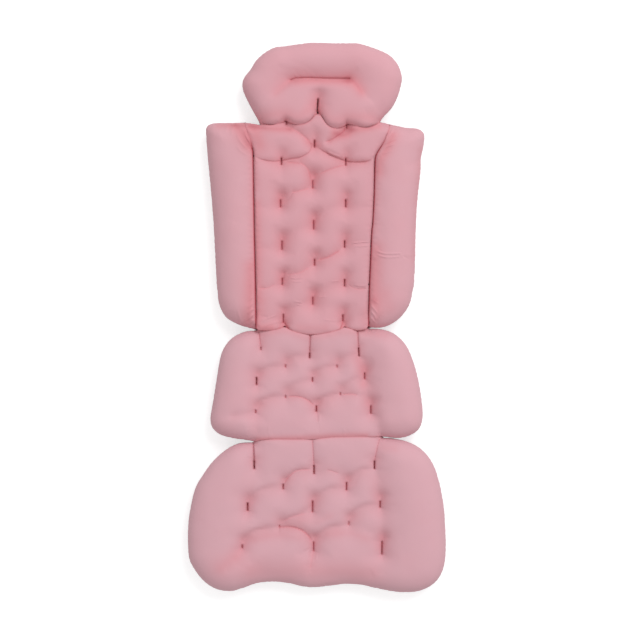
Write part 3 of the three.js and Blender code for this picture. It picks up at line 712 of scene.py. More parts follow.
def sectionFeatures(piece):
    # every line of a section in metres, with the tufts' own slits, hollows and pleats
    right, above = making["tuftAbove"]
    up, down, depth, width = making["tuftPleat"]
    least, length = making["tuftHold"]
    lines = {kind: list(piece.get(kind, [])) for kind in lineSteps}
    lines["slits"] = []
    for x, y, half, bowl in piece.get("tufts", []):
        top, foot = (x, y - half), (x, y + half)
        lines["slits"].append(([top, (x, y), foot], min(1, least + half / length)))
        lines["hollows"].append(([(x + right, y - half - above), (x + right / 2, y - half), foot], bowl))
        if half > making["pleatFrom"]:
            lines["valleys"].append(([(x, y - up), (x, y), (x, y + down)], depth, width, width))
    for line in piece.get("slits", []):
        (x, y), last = line[0], line[-1]
        lines["slits"].append((line, 1))
        lines["hollows"].append(([(x + right, y - above / 2), (x, y), last], making["slitHollow"]))
    return {
        kind: [(spline(place(line), step), *rest) for line, *rest in lines[kind]]
        for kind, step in lineSteps.items()
    }


def grooveClosing(piece, run, y):
    # the power of a sewn edge's rise, and how much of its groove closes
    power = making["squareness"]["sewn"]
    if "lobes" in piece:
        return piece["lobes"]
    if isWingSeam(run):
        return power, seamFade[2] * runningOut(y)
    return power, making["closed"][0 if run[:, 1].mean() > headSeamFrom else 1]


def heightShare(piece, points, kinds, features, soft):
    # how high the cloth stands at each point, from 0 at the outline to 1 on a crown
    share = np.ones(len(points))
    for run in kinds["free"]:
        rows, far, side, along = closeTo(points, run, piece["reach"]["free"])
        share[rows] *= roundRise(far, piece["reach"]["free"], making["squareness"]["free"])
    for run in kinds["sewn"]:
        rows, far, side, along = closeTo(points, run, piece["reach"]["sewn"])
        power, closed = grooveClosing(piece, run, points[rows, 1])
        rise = roundRise(far, piece["reach"]["sewn"], power)
        share[rows] *= rise + (1 - rise) * closed
    width = making["tuftWidth"]
    for line, bowl in features["hollows"]:
        rows, far, side, along = closeTo(points, line, wideTail * width)
        share[rows] *= 1 - bowl * fading(far, width, steepness["tuft"])
    dip, width = making["channelDip"]
    for line, depth in features["channels"]:
        rows, far, side, along = closeTo(points, line, wideTail * width)
        share[rows] *= 1 - dip * fading(far, width, steepness["channel"])
    least, inFull = making["valleyEnds"]
    for line, depth, left, right in features["valleys"]:
        rows, far, side, along = closeTo(points, line, shortTail * mm * max(left, right))
        width = np.where(side > 0, left, right) * mm
        ends = least + (1 - least) * runIn(along, inFull)
        share[rows] *= 1 - soft * depth * ends * fading(far, width, steepness["valley"])
    return share


def clothHeights(piece, points, kinds, features):
    full = fullBack = np.ones(len(points))
    if "middle" in piece:
        front, rear, inner, outer = piece["middle"]
        lobe = ease((np.abs(points[:, 0]) - inner) / (outer - inner))
        full, fullBack = front + (1 - front) * lobe, rear + (1 - rear) * lobe
    high = heightShare(piece, points, kinds, features, 1)
    low = heightShare(piece, points, kinds, features, making["backShare"])
    high = seamHeight + piece["above"] * full * high
    low = seamHeight - piece["below"] * fullBack * low
    flat, slope, clear = making["cupFlat"]
    for lowest, highest in cups.values():
        # the back cloth lies flat over a cup's holder
        centre = (lowest + highest) / 2
        away = np.hypot(points[:, 0] - centre.x, points[:, 1] - centre.y)
        level = highest.z + clear
        low = level + (low - level) * ease((away - flat) / slope)
    return high, np.minimum(low, seamHeight)


def leanOverSeams(points, high, low, runs):
    # the walls of a groove rise part of the way and close over the seam, which holds them
    within, over = making["press"]
    halfway, rise = making["halfway"]
    held = np.zeros(len(points), bool)
    for run in runs:
        far, foot, side, along = nearest(points, run)
        rows = far < halfway
        high[rows] = seamHeight + rise * (high[rows] - seamHeight)
        low[rows] = seamHeight + rise * (low[rows] - seamHeight)
        rows = (far < within) & (far > touching) & (along > 0) & (along < 1)
        lean = over * np.minimum(1, far[rows] / halfway) / far[rows]
        points[rows] = foot[rows] + (foot[rows] - points[rows]) * lean[:, None]
        held |= far < within + making["pinned"]
    return held


def twoCloths(name, points, faces, high, low, rim):
    # the front cloth and the back cloth, sewn to each other along the outline
    partner = np.arange(len(points))
    partner[rim] = len(points) + np.arange(rim.sum())
    a, b, c = (points[faces[:, k]] for k in range(3))
    turn = (b[:, 0] - a[:, 0]) * (c[:, 1] - a[:, 1]) - (b[:, 1] - a[:, 1]) * (c[:, 0] - a[:, 0])
    faces = np.where(turn[:, None] > 0, faces, faces[:, ::-1])
    verts = np.vstack([np.column_stack([points, high]), np.column_stack([points, low])[rim]])
    both = np.vstack([faces, partner[faces][:, ::-1]])
    mesh = bpy.data.meshes.new(name)
    mesh.from_pydata(verts.tolist(), [], both.tolist())
    mesh.polygons.foreach_set("material_index", [0] * len(faces) + [1] * len(faces))
    mesh.polygons.foreach_set("use_smooth", [True] * len(both))
    mesh.update()
    obj = bpy.data.objects.new(name, mesh)
    scene.collection.objects.link(obj)
    return obj


def buildSection(piece):
    loop, kinds = edgeLoop(piece)
    features = sectionFeatures(piece)
    sewnLines = [line for line, *rest in features["slits"] + features["channels"]]
    foldLines = [line for line, *rest in features["creases"] + features["ridges"]]
    points, faces = cutPattern(loop, [warp(line, loop, False) for line in sewnLines + foldLines])
    points = warp(points, loop, True)
    onLoop = nearest(points, loop, True)[0] < touching
    high, low = clothHeights(piece, points, kinds, features)
    low[onLoop] = high[onLoop] = seamHeight
    held = onLoop | leanOverSeams(points, high, low, kinds["sewn"])
    held |= leastDistance(points, sewnLines, mm) < touching
    rim = ~onLoop
    obj = twoCloths(piece["name"], points, faces, high, low, rim)
    group = obj.vertex_groups.new(name="pins")
    group.add(np.nonzero(np.concatenate([held, held[rim]]))[0].tolist(), 1.0, "REPLACE")
    piece["object"] = obj
    piece["loop"], piece["kinds"], piece["features"] = loop, kinds, features
    print("section", piece["name"], len(obj.data.vertices), "points")


for section in sections:
    buildSection(section)

# The filling swells every section at once: pressure inside the cloth, seams and tufts held
filling = {
    "frames": 10,
    "quality": 4,
    "mass": 0.3,
    "pressure": 30,
    "tension": 15,
    "shear": 5,
    "bending": 1.0,
    "extra": 0.002,
    "cap": 3.5 * mm,  # no point moves farther than this
}


def fillSections():
    starts = {}
    for piece in sections:
        obj = piece["object"]
        cloth = obj.modifiers.new("filling", "CLOTH")
        s = cloth.settings
        s.quality = filling["quality"]
        s.mass = filling["mass"]
        s.tension_stiffness = s.compression_stiffness = filling["tension"]
        s.shear_stiffness = filling["shear"]
        s.bending_stiffness = filling["bending"]
        s.use_pressure = True
        s.uniform_pressure_force = filling["pressure"]
        s.vertex_group_mass = "pins"
        s.shrink_min = -filling["extra"]
        s.effector_weights.gravity = 0
        cloth.collision_settings.use_collision = False
        cloth.collision_settings.use_self_collision = False
        cloth.point_cache.frame_start, cloth.point_cache.frame_end = 1, filling["frames"]
        starts[obj.name] = np.array([v.co for v in obj.data.vertices])
    for step in range(1, filling["frames"] + 1):
        scene.frame_set(step)
    graph = bpy.context.evaluated_depsgraph_get()
    for piece in sections:
        obj = piece["object"]
        done = np.array([v.co for v in obj.evaluated_get(graph).data.vertices])
        move = done - starts[obj.name]
        far = np.linalg.norm(move, axis=1)
        move *= np.minimum(1, filling["cap"] / np.maximum(far, touching))[:, None]
        obj.modifiers.clear()
        obj.data.vertices.foreach_set("co", (starts[obj.name] + move).ravel())
        obj.data.update()
        print("filled", obj.name, "moved up to", round(far.max() / mm, 1), "mm")
    scene.frame_set(1)


fillSections()

# Sewing and small folds, put into the finished cloth
sewing = {
    "slitFloor": 4.5 * mm,  # how high over the seam a tuft holds the cloth
    "slitWidth": 1.05 * mm,
    "slitReach": 18 * mm,
    "channelWidth": 1 * mm,
    "backPull": 0.5,  # tufts and channels draw the back in by this share
    "creaseWidth": 0.95 * mm,
    "creaseDepth": 0.6,
    "creaseReach": 24 * mm,
    "creaseEnds": 0.16,
    "creaseFull": 1.8,  # a crease this deep, in mm, has its painted shade in full
    "stepWidth": 8 * mm,
    "stepStart": 0.8 * mm,
    "ridgeEnds": 0.3,
    "lumps": (0.5 * mm, 26 * mm, 12 * mm),  # height, spacing, and how far from the outline they are in full
    "pucker": (0.18 * mm, 6 * mm, 7.5 * mm),  # height, reach from a seam, spacing
    "puckerDrift": (0.35, 0.6, 0.6, 0.8),  # how they change: rate, shift, least height and gain
    "puckerFrom": (0.8 * mm, 3 * mm),  # they keep off the sewn seams
    "rimGroove": (1.1 * mm, 1.7 * mm, 3 * mm),  # depth, height, and how near the outline
    "floor": 0.2 * mm,  # no cloth is lower
}
# painted shade: how far the cloth's colour darkens where shade falls in seams, tufts, hollows, channels,
# creases and valleys, from 0 to 1: strength and width beside each kind of line
blush = {
    "wing seam": ((0.95, 1.0 * mm),),
    "cross seam": ((0.33, 0.8 * mm), (0.08, 5 * mm)),
    "tuft": ((0.6, 0.9 * mm),),
    "hollow": ((0.27, 9 * mm),),
    "channel": ((0.2, 0.8 * mm), (0.06, 5 * mm)),
    "crease": ((0.25, 0.8 * mm), (0.1, 5 * mm)),
    "valley": (0.5, 0.3),  # for its depth, and where it is in full
    "bowl": 2,  # a hollow's strength for its depth
    "runningOut": (0.85, 0.6),  # how much the left and the right wing seam lose at their tops
    "hollowReach": 24 * mm,
    "seamReach": 20 * mm,
}


# darkens the colour value towards the painted shade
def tint(colour, rows, near):
    colour[rows] = 1 - (1 - colour[rows]) * (1 - near)


# painted shade beside a line, with the strengths and widths of its kind
def paintShadeBeside(colour, rows, far, kind, strength=1.0):
    for depth, width in blush[kind]:
        tint(colour, rows, depth * strength * fading(far, width, steepness["sewn"]))


def smallRelief(piece, co, xy, over):
    # lumps of the filling, puckers beside the edges, raised wrinkles, and the groove round the rim
    height, spacing, full = sewing["lumps"]
    lumps = np.array([noise.noise(Vector(p) / spacing) for p in co.tolist()])
    edge, foot, side, along = nearest(xy, piece["loop"], True)
    shift = height * lumps * ease(edge / full)
    height, reach, spacing = sewing["pucker"]
    rate, wander, least, gain = sewing["puckerDrift"]
    turns = along * np.linalg.norm(np.diff(piece["loop"], axis=0), axis=1).sum() / spacing
    change = np.array([noise.noise(Vector((t * rate, 0.5, 0))) for t in turns.tolist()])
    waves = np.sin(2 * math.pi * (turns + wander * change)) * (least + gain * change)
    start, rise = sewing["puckerFrom"]
    sewnFar = leastDistance(xy, piece["kinds"]["sewn"], reach)
    shift += height * waves * fading(edge, reach) * ease((sewnFar - start) / rise)
    for line, tall, width in piece["features"]["ridges"]:
        rows, far, side, along = closeTo(xy, line, shortTail * mm * width)
        ridge = tall * mm * runIn(along, sewing["ridgeEnds"]) * fading(far, width * mm, steepness["ridge"])
        shift[rows] += ridge * over[rows]
    groove, width, near = sewing["rimGroove"]
    return shift - groove * fading(co[:, 2] - seamHeight, width, 2) * (edge < near) * (sewnFar > near)


def drawIn(features, xy, z, over, colour):
    # creases, where one pad folds over the next, with painted shade darkening the colour in them
    for line, depth, step in features["creases"]:
        rows, far, side, along = closeTo(xy, line, sewing["creaseReach"])
        ends = runIn(along, sewing["creaseEnds"])
        fold = sewing["creaseDepth"] * depth * mm * fading(far, sewing["creaseWidth"], steepness["crease"])
        lean = step / 2 * mm * side * fading(far, sewing["stepWidth"]) * ease(far / sewing["stepStart"])
        z[rows] += ends * (lean - fold) * over[rows]
        paintShadeBeside(colour, rows, far, "crease", ends * min(1, depth / sewing["creaseFull"]))

    # sewn channels and tufts, drawn in from both sides, with painted shade darkening the colour in their
    # grooves
    for line, depth in features["channels"]:
        rows, far, side, along = closeTo(xy, line, sewing["slitReach"])
        pull = depth * mm * fading(far, sewing["channelWidth"], steepness["sewn"])
        z[rows] -= np.where(over[rows], pull, -sewing["backPull"] * pull)
        paintShadeBeside(colour, rows, far, "channel")
    floor = sewing["slitFloor"]
    for line, pull in features["slits"]:
        rows, far, side, along = closeTo(xy, line, sewing["slitReach"])
        stay = np.where(over[rows], seamHeight + floor, seamHeight - sewing["backPull"] * floor)
        z[rows] += (stay - z[rows]) * pull * fading(far, sewing["slitWidth"], steepness["sewn"])
        paintShadeBeside(colour, rows, far, "tuft", pull)
    z[:] = np.maximum(z, sewing["floor"])


def paintShadeOnCloth(features, runs, xy, over, colour):
    # painted shade: the cloth's colour darkens in hollows and valleys and along the seams, where shade falls
    for line, strength, width in features["shades"]:
        rows, far, side, along = closeTo(xy, line, shortTail * mm * width)
        tint(colour, rows, strength * over[rows] * fading(far, width * mm, steepness["shade"]))
    for line, bowl in features["hollows"]:
        rows, far, side, along = closeTo(xy, line[: len(line) // 2 + 1], blush["hollowReach"])
        paintShadeBeside(colour, rows, far, "hollow", blush["bowl"] * bowl)
    gain, inFull = blush["valley"]
    for line, depth, left, right in features["valleys"]:
        rows, far, side, along = closeTo(xy, line, shortTail * mm * max(left, right))
        width = np.where(side > 0, left, right) * mm
        tint(colour, rows, gain * depth * runIn(along, inFull) * fading(far, width, steepness["valley"]))
    for run in runs:
        rows, far, side, along = closeTo(xy, run, blush["seamReach"])
        if isWingSeam(run):
            loss = blush["runningOut"][0 if run[:, 0].mean() < 0 else 1]
            paintShadeBeside(colour, rows, far, "wing seam", 1 - loss * runningOut(xy[rows, 1]))
        else:
            paintShadeBeside(colour, rows, far, "cross seam")


def detailSection(piece):
    obj = piece["object"]
    obj.vertex_groups.clear()
    smooth = obj.modifiers.new("smooth", "SUBSURF")
    smooth.levels = smooth.render_levels = 1
    smooth.use_limit_surface = False
    graph = bpy.context.evaluated_depsgraph_get()
    mesh = bpy.data.meshes.new_from_object(obj.evaluated_get(graph))
    obj.modifiers.clear()
    obj.data = mesh
    co = np.array([v.co for v in mesh.vertices])
    normal = np.array([v.vector for v in mesh.vertex_normals])
    xy = co[:, :2].copy()
    over = co[:, 2] >= seamHeight
    # the painted shade in the cloth's colour, from 0 to 1, starting at the section's warmth
    colour = np.full(len(co), piece["warmth"])
    co += normal * smallRelief(piece, co, xy, over)[:, None]
    drawIn(piece["features"], xy, co[:, 2], over, colour)
    paintShadeOnCloth(piece["features"], piece["kinds"]["sewn"], xy, over, colour)
    mesh.vertices.foreach_set("co", co.ravel())
    # the painted shade is kept on the cloth for its material to read
    mesh.attributes.new("blush", "FLOAT", "POINT").data.foreach_set("value", colour)
    mesh.update()
    print("detailed", obj.name, len(co), "points")


for section in sections:
    detailSection(section)


# Threads, fold strips and turned pieces
def newObject(name, verts, faces, material):
    mesh = bpy.data.meshes.new(name)
    mesh.from_pydata([tuple(v) for v in verts], [], [tuple(f) for f in faces])
    mesh.polygons.foreach_set("use_smooth", [True] * len(mesh.polygons))
    mesh.materials.append(material)
    mesh.update()
    obj = bpy.data.objects.new(name, mesh)
    scene.collection.objects.link(obj)
    return obj


def sideFaces(lower, upper):
    # four-sided faces between two rings of points, or three-sided ones to a pole
    count = max(len(lower), len(upper))
    faces = []
    for s in range(count):
        n = (s + 1) % count
        corners = [lower[s % len(lower)], lower[n % len(lower)], upper[n % len(upper)], upper[s % len(upper)]]
        faces.append(tuple(dict.fromkeys(corners)))
    return faces


def tube(path, radii, sides, flat=1.0):
    # a closed tube along a path lying nearly level, flat scales its height
    way = np.gradient(path, axis=0)
    way /= np.linalg.norm(way, axis=1)[:, None]
    across = np.column_stack([-way[:, 1], way[:, 0], np.zeros(len(path))])
    across /= np.linalg.norm(across, axis=1)[:, None]
    up = np.cross(way, across)
    verts, faces = [], []
    for spot, radius, right, rise in zip(path, radii, across, up):
        for s in range(sides):
            turn = 2 * math.pi * s / sides
            verts.append(spot + radius * (math.cos(turn) * right + flat * math.sin(turn) * rise))
    rings = [range(k * sides, (k + 1) * sides) for k in range(len(path))]
    for lower, upper in zip(rings, rings[1:]):
        faces += sideFaces(lower, upper)
    return verts, faces + [tuple(rings[0])[::-1], tuple(rings[-1])]


def joined(parts):
    verts, faces = [], []
    for v, f in parts:
        base = len(verts)
        verts += list(v)
        faces += [tuple(i + base for i in face) for face in f]
    return verts, faces


def turned(profile, centre, sides):
    # a closed profile of radius and height turned round a standing axis; radius 0 makes a pole
    verts, faces, rings = [], [], []
    for radius, height in profile:
        count = 1 if radius < touching else sides
        rings.append(range(len(verts), len(verts) + count))
        for s in range(count):
            turn = 2 * math.pi * s / sides
            verts.append((centre[0] + radius * math.cos(turn), centre[1] + radius * math.sin(turn), height))
    pairs = list(zip(rings, rings[1:]))
    if len(rings[0]) > 1:
        pairs.append((rings[-1], rings[0]))
    for lower, upper in pairs:
        faces += sideFaces(lower, upper)
    return verts, faces


# Materials
def newMaterial(name):
    material = bpy.data.materials.new(name)
    material.use_nodes = True
    return material, material.node_tree.nodes, material.node_tree.links


def srgb(r, g, b):
    return tuple(((v / 255 + 0.055) / 1.055) ** 2.4 for v in (r, g, b)) + (1,)


def noiseOn(nodes, links, scale, detail=2):
    # noise fixed to the object
    cloud = nodes.new("ShaderNodeTexNoise")
    cloud.inputs["Scale"].default_value = scale
    cloud.inputs["Detail"].default_value = detail
    links.new(nodes.new("ShaderNodeTexCoord").outputs["Object"], cloud.inputs["Vector"])
    return cloud


# the cloth's own colour in the open, and painted shade: a darker colour beside seams and tufts and a deeper
# one down in a crevice
frontJersey = {
    "open": srgb(219, 170, 179),
    "near": srgb(218, 147, 155),
    "deep": srgb(176, 50, 67),
    "roughness": 0.92,
    "sheen": 0.18,
}
backJersey = {
    "open": srgb(214, 162, 171),
    "near": srgb(212, 142, 150),
    "deep": srgb(168, 56, 72),
    "roughness": 0.94,
    "sheen": 0.16,
}
knit = {
    "pitch": 1.15 * mm,
    "height": 0.06 * mm,
    "strength": 0.35,
    "stretch": {"X": 1.0, "Y": 1.4},  # columns of stitches, crossed by rows
    "distortion": 0.6,
    "cloud": 28,
    "drift": 0.12,
    "openTo": 0.06,
    "nearAt": 0.5,
}


def makeJersey(name, finish):
    # fine knit: columns of stitches down the pad, crossed by rows, as a small bump
    material, nodes, links = newMaterial(name)
    shader = nodes["Principled BSDF"]
    shader.inputs["Roughness"].default_value = finish["roughness"]
    shader.inputs["Specular IOR Level"].default_value = 0.15
    shader.inputs["Sheen Weight"].default_value = finish["sheen"]
    shader.inputs["Sheen Roughness"].default_value = 0.5
    # the colour: the painted shade on the cloth, with a little random tone, picks it from the open cloth to
    # the painted shade
    drift = nodes.new("ShaderNodeMath")
    drift.operation = "MULTIPLY_ADD"
    links.new(noiseOn(nodes, links, knit["cloud"], 3).outputs["Fac"], drift.inputs[0])
    drift.inputs[1].default_value = knit["drift"]
    depth = nodes.new("ShaderNodeAttribute")
    depth.attribute_name = "blush"
    links.new(depth.outputs["Fac"], drift.inputs[2])
    ramp = nodes.new("ShaderNodeValToRGB")
    ramp.color_ramp.elements[0].color = finish["open"]
    ramp.color_ramp.elements[0].position = knit["openTo"]
    ramp.color_ramp.elements[1].color = finish["deep"]
    ramp.color_ramp.elements[1].position = 1
    ramp.color_ramp.elements.new(knit["nearAt"]).color = finish["near"]
    links.new(drift.outputs[0], ramp.inputs["Fac"])
    links.new(ramp.outputs["Color"], shader.inputs["Base Color"])
    both = nodes.new("ShaderNodeMath")
    both.operation = "MULTIPLY"
    for k, (direction, stretch) in enumerate(knit["stretch"].items()):
        wave = nodes.new("ShaderNodeTexWave")
        wave.bands_direction = direction
        wave.inputs["Scale"].default_value = stretch * math.pi / 10 / knit["pitch"]
        wave.inputs["Distortion"].default_value = knit["distortion"]
        wave.inputs["Detail"].default_value = 1
        links.new(nodes.new("ShaderNodeTexCoord").outputs["Object"], wave.inputs["Vector"])
        links.new(wave.outputs["Fac"], both.inputs[k])
    bump = nodes.new("ShaderNodeBump")
    bump.inputs["Strength"].default_value = knit["strength"]
    bump.inputs["Distance"].default_value = knit["height"]
    links.new(both.outputs[0], bump.inputs["Height"])
    links.new(bump.outputs["Normal"], shader.inputs["Normal"])
    return material


wineThread = {"name": "wine_thread", "light": srgb(164, 86, 101), "dark": srgb(142, 66, 82)}
paleThread = {"name": "pale_thread", "light": srgb(208, 138, 148), "dark": srgb(192, 118, 130)}
ply = {"roughness": 0.7, "scale": 900}


def makeThread(finish):
    material, nodes, links = newMaterial(finish["name"])
    shader = nodes["Principled BSDF"]
    shader.inputs["Roughness"].default_value = ply["roughness"]
    mix = nodes.new("ShaderNodeMix")
    mix.data_type = "RGBA"
    mix.inputs["A"].default_value = finish["light"]
    mix.inputs["B"].default_value = finish["dark"]
    links.new(noiseOn(nodes, links, ply["scale"]).outputs["Fac"], mix.inputs["Factor"])
    links.new(mix.outputs["Result"], shader.inputs["Base Color"])
    return material


clearSilicone = {
    "name": "clear_silicone",
    "colour": srgb(238, 242, 243),
    "through": 0.45,
    "bend": 1.41,
    "roughness": (0.3, 0.45),
    "grain": 160,
}
whitePlastic = {
    "name": "white_plastic",
    "colour": srgb(238, 232, 230),
    "through": 0,
    "bend": 1.5,
    "roughness": (0.38, 0.52),
    "grain": 700,
}


def makeMoulded(finish):
    # a moulded material whose roughness changes a little over it
    material, nodes, links = newMaterial(finish["name"])
    shader = nodes["Principled BSDF"]
    shader.inputs["Base Color"].default_value = finish["colour"]
    shader.inputs["Transmission Weight"].default_value = finish["through"]
    shader.inputs["IOR"].default_value = finish["bend"]
    ramp = nodes.new("ShaderNodeMapRange")
    ramp.inputs["To Min"].default_value, ramp.inputs["To Max"].default_value = finish["roughness"]
    links.new(noiseOn(nodes, links, finish["grain"]).outputs["Fac"], ramp.inputs["Value"])
    links.new(ramp.outputs["Result"], shader.inputs["Roughness"])
    return material


frontCloth = makeJersey("front_jersey", frontJersey)
backCloth = makeJersey("back_jersey", backJersey)
tackThread = makeThread(wineThread)
channelThread = makeThread(paleThread)
silicone = makeMoulded(clearSilicone)
holderPlastic = makeMoulded(whitePlastic)

# Sections that lie across a fold, each with its parent, its own body and the two points up to and after which
# it would follow them; only the keys are read, and these sections are baked in place unbent
folds = {
    "pillow": ("back_panel", "head_pillow", (0, 300 * mm, seamHeight), (0, 330 * mm, seamHeight)),
    "left_wing": ("back_panel", "left_wing", (-97 * mm, 0, seamHeight), (-127 * mm, 0, seamHeight)),
    "right_wing": ("back_panel", "right_wing", (92 * mm, 0, seamHeight), (122 * mm, 0, seamHeight)),
    "seat": ("back_panel", "seat_pad", (0, -20 * mm, seamHeight), (0, -48 * mm, seamHeight)),
    "legs": ("seat_pad", "leg_pad", (0, -179 * mm, seamHeight), (0, -207 * mm, seamHeight)),
}


def attach(obj, key, body):
    if key in folds:
        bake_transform(obj)
    else:
        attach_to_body(obj, body)


def surfaceHeight(obj, x, y):
    # the cloth's height at a place, looked for from well above it
    hit, spot, normal, index = obj.ray_cast(Vector((x, y, 0.2)), Vector((0, 0, -1)))
    return spot.z if hit else seamHeight


bar = {
    "radius": 0.5 * mm,
    "turns": 13,
    "ends": (0.06, 0.94),  # where on the tuft's line the thread starts and stops
    "proud": 0.35 * mm,
    "waist": 0.22,  # how much thinner it is between two turns
    "sides": 8,
    "flat": 0.7,
}
stitch = {
    "length": 2.9 * mm,
    "gap": 1.0 * mm,
    "radius": 0.26 * mm,
    "arch": 0.12 * mm,
    "points": 7,
    "sides": 8,
}


def barTack(line, pull, side):
    # thread wound close over the cloth at the bottom of a tuft, on the front or on the back
    floor = sewing["slitFloor"] if side > 0 else -sewing["backPull"] * sewing["slitFloor"]
    rings = 2 * max(4, round(bar["turns"] * pull)) + 1
    t = np.linspace(*bar["ends"], rings)
    at = np.linspace(0, 1, len(line))
    level = np.full(rings, seamHeight + floor + side * bar["proud"])
    path = np.column_stack([np.interp(t, at, line[:, 0]), np.interp(t, at, line[:, 1]), level])
    radii = bar["radius"] * (1 + pull) / 2 * (1 - bar["waist"] * (np.arange(rings) % 2))
    radii[[0, -1]] /= 2
    return tube(path, radii, bar["sides"], bar["flat"])


def channelStitches(obj, line):
    # running stitches lying on the cloth
    along = np.concatenate([[0], np.cumsum(np.linalg.norm(np.diff(line, axis=0), axis=1))])
    pitch = stitch["length"] + stitch["gap"]
    parts = []
    for k in range(int(along[-1] / pitch)):
        t = k * pitch + stitch["gap"] / 2 + np.linspace(0, stitch["length"], stitch["points"])
        x, y = np.interp(t, along, line[:, 0]), np.interp(t, along, line[:, 1])
        z = np.array([surfaceHeight(obj, a, b) for a, b in zip(x, y)])
        arch = np.sin(np.linspace(0, math.pi, stitch["points"])) * stitch["arch"]
        radii = np.full(stitch["points"], stitch["radius"])
        radii[[0, -1]] /= 2
        parts.append(tube(np.column_stack([x, y, z + arch]), radii, stitch["sides"]))
    return parts


def addThreads(piece):
    features = piece["features"]
    tacks = [barTack(line, pull, side) for line, pull in features["slits"] for side in (1, -1)]
    stitches = []
    for line, depth in features["channels"]:
        stitches += channelStitches(piece["object"], line)
    if not tacks + stitches:
        return
    verts, faces = joined(tacks + stitches)
    obj = newObject(piece["nodes"] + "_stitching", verts, faces, tackThread)
    obj.data.materials.append(channelThread)
    tackFaces = sum(len(f) for v, f in tacks)
    obj.data.polygons.foreach_set("material_index", [0] * tackFaces + [1] * (len(faces) - tackFaces))
    attach(obj, piece["nodes"], piece["body"])


for section in sections:
    addThreads(section)

# The flat strips that the sections fold along
strip = {"half": 1.5 * mm, "thickness": 0.9 * mm, "step": 2 * mm}
foldStrips = {
    "head_fold_seam": ("pillow", pillowLobes),
    "left_wing_seam": ("left_wing", [leftSeam]),
    "right_wing_seam": ("right_wing", [rightSeam]),
    "seat_fold_seam": ("seat", seatSeam),
    "leg_fold_seam": ("legs", [legSeam]),
}


def addFoldStrip(node, runs):
    lines = [spline(place(run), strip["step"]) for run in runs]
    path = np.vstack([line[:-1] for line in lines[:-1]] + [lines[-1]])
    way = np.gradient(path, axis=0)
    way /= np.linalg.norm(way, axis=1)[:, None]
    across = np.column_stack([-way[:, 1], way[:, 0]]) * strip["half"]
    verts, faces = [], []
    for spot, wide in zip(path, across):
        for side, lift in ((1, 1), (1, -1), (-1, -1), (-1, 1)):
            verts.append((*(spot + side * wide), seamHeight + lift * strip["thickness"] / 2))
    rings = [range(4 * k, 4 * k + 4) for k in range(len(path))]
    for lower, upper in zip(rings, rings[1:]):
        faces += sideFaces(lower, upper)
    faces += [tuple(rings[0]), tuple(rings[-1])[::-1]]
    obj = newObject(node.replace("_seam", "_strip"), verts, faces, tackThread)
    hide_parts(node)
    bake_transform(obj)


for node, (key, runs) in foldStrips.items():
    addFoldStrip(node, runs)
print("threads and fold strips made")

# Suction cups and their holders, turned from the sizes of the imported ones. The small tables are steps in mm,
# outwards and upwards, from the foot of the rim and of the ridge and from the knob's lower and upper edges
cupShape = {
    "sides": 72,
    "hollow": 3.3 * mm,
    "hollowRim": 0.6 * mm,
    "hollowPower": 2.2,
    "rim": [(-0.2, 0.05), (0, 0.35), (-0.3, 0.8)],
    "rimWidth": 3 * mm,
    "ridge": [(0.5, 1.05), (0, 1.5), (-0.6, 1.25)],
    "domeTop": 0.8 * mm,
    "domePower": 1.35,
    "steps": 8,
    "neck": 4.5 * mm,
    "knob": 7 * mm,
    "knobHeight": 1.6 * mm,
    "knobLower": [(-0.3, 0), (0, 0.3)],
    "knobUpper": [(-0.2, -0.5), (-0.9, -0.1), (-1.6, 0)],
}
holderShape = {"bore": 0.45 * mm, "room": 0.4 * mm, "lip": 1.2 * mm, "soft": 0.4 * mm}


def stepped(radius, height, steps):
    return [(radius + out * mm, height + up * mm) for out, up in steps]


def cupProfile(radius, foot, top):
    steps, neck, knob = cupShape["steps"], cupShape["neck"], cupShape["knob"]
    profile = [(0, cupShape["hollow"])]
    for k in range(1, steps + 1):
        t = k / steps
        out = t * (radius - cupShape["hollowRim"])
        profile.append((out, cupShape["hollow"] * (1 - t ** cupShape["hollowPower"])))
    profile += stepped(radius, 0, cupShape["rim"])
    profile += stepped(radius - cupShape["rimWidth"], 0, cupShape["ridge"])
    (startOut, startUp), edge = profile[-1], cupShape["domeTop"]
    for k in range(1, steps):
        t = k / steps
        up = startUp + (foot - edge - startUp) * t ** cupShape["domePower"]
        profile.append((startOut + (neck + edge - startOut) * t, up))
    knobFoot = top - cupShape["knobHeight"]
    profile += stepped(neck, foot, [(0.3, -0.5), (0, 0)]) + stepped(neck, knobFoot, [(0, -0.1)])
    profile += stepped(knob, knobFoot, cupShape["knobLower"]) + stepped(knob, top, cupShape["knobUpper"])
    return profile + [(0, top)]


def holderProfile(outer, low, high):
    bore, room = cupShape["neck"] + holderShape["bore"], cupShape["knob"] + holderShape["room"]
    lip, soft = low + holderShape["lip"], holderShape["soft"]
    return [
        (bore, low + soft), (bore + soft, low), (outer - 2 * soft, low), (outer - soft / 2, low + soft / 2),
        (outer, low + 2 * soft), (outer, high - soft), (outer - soft, high), (room, high), (room, lip),
        (bore + soft, lip), (bore, lip - soft),
    ]


def addCup(name, body):
    holderLow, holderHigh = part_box(name + "_cup_holder")
    cupLow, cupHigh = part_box(name + "_suction_cup")
    centre = (cupLow + cupHigh) / 2
    profile = cupProfile((cupHigh.y - cupLow.y) / 2, holderLow.z, cupHigh.z)
    cup = newObject(name + "_cup", *turned(profile[::-1], centre, cupShape["sides"]), silicone)
    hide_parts(name + "_suction_cup")
    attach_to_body(cup, body)
    profile = holderProfile((holderHigh.y - holderLow.y) / 2, holderLow.z, holderHigh.z)
    holder = newObject(name + "_holder", *turned(profile, centre, cupShape["sides"]), holderPlastic)
    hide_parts(name + "_cup_holder")
    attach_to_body(holder, body)


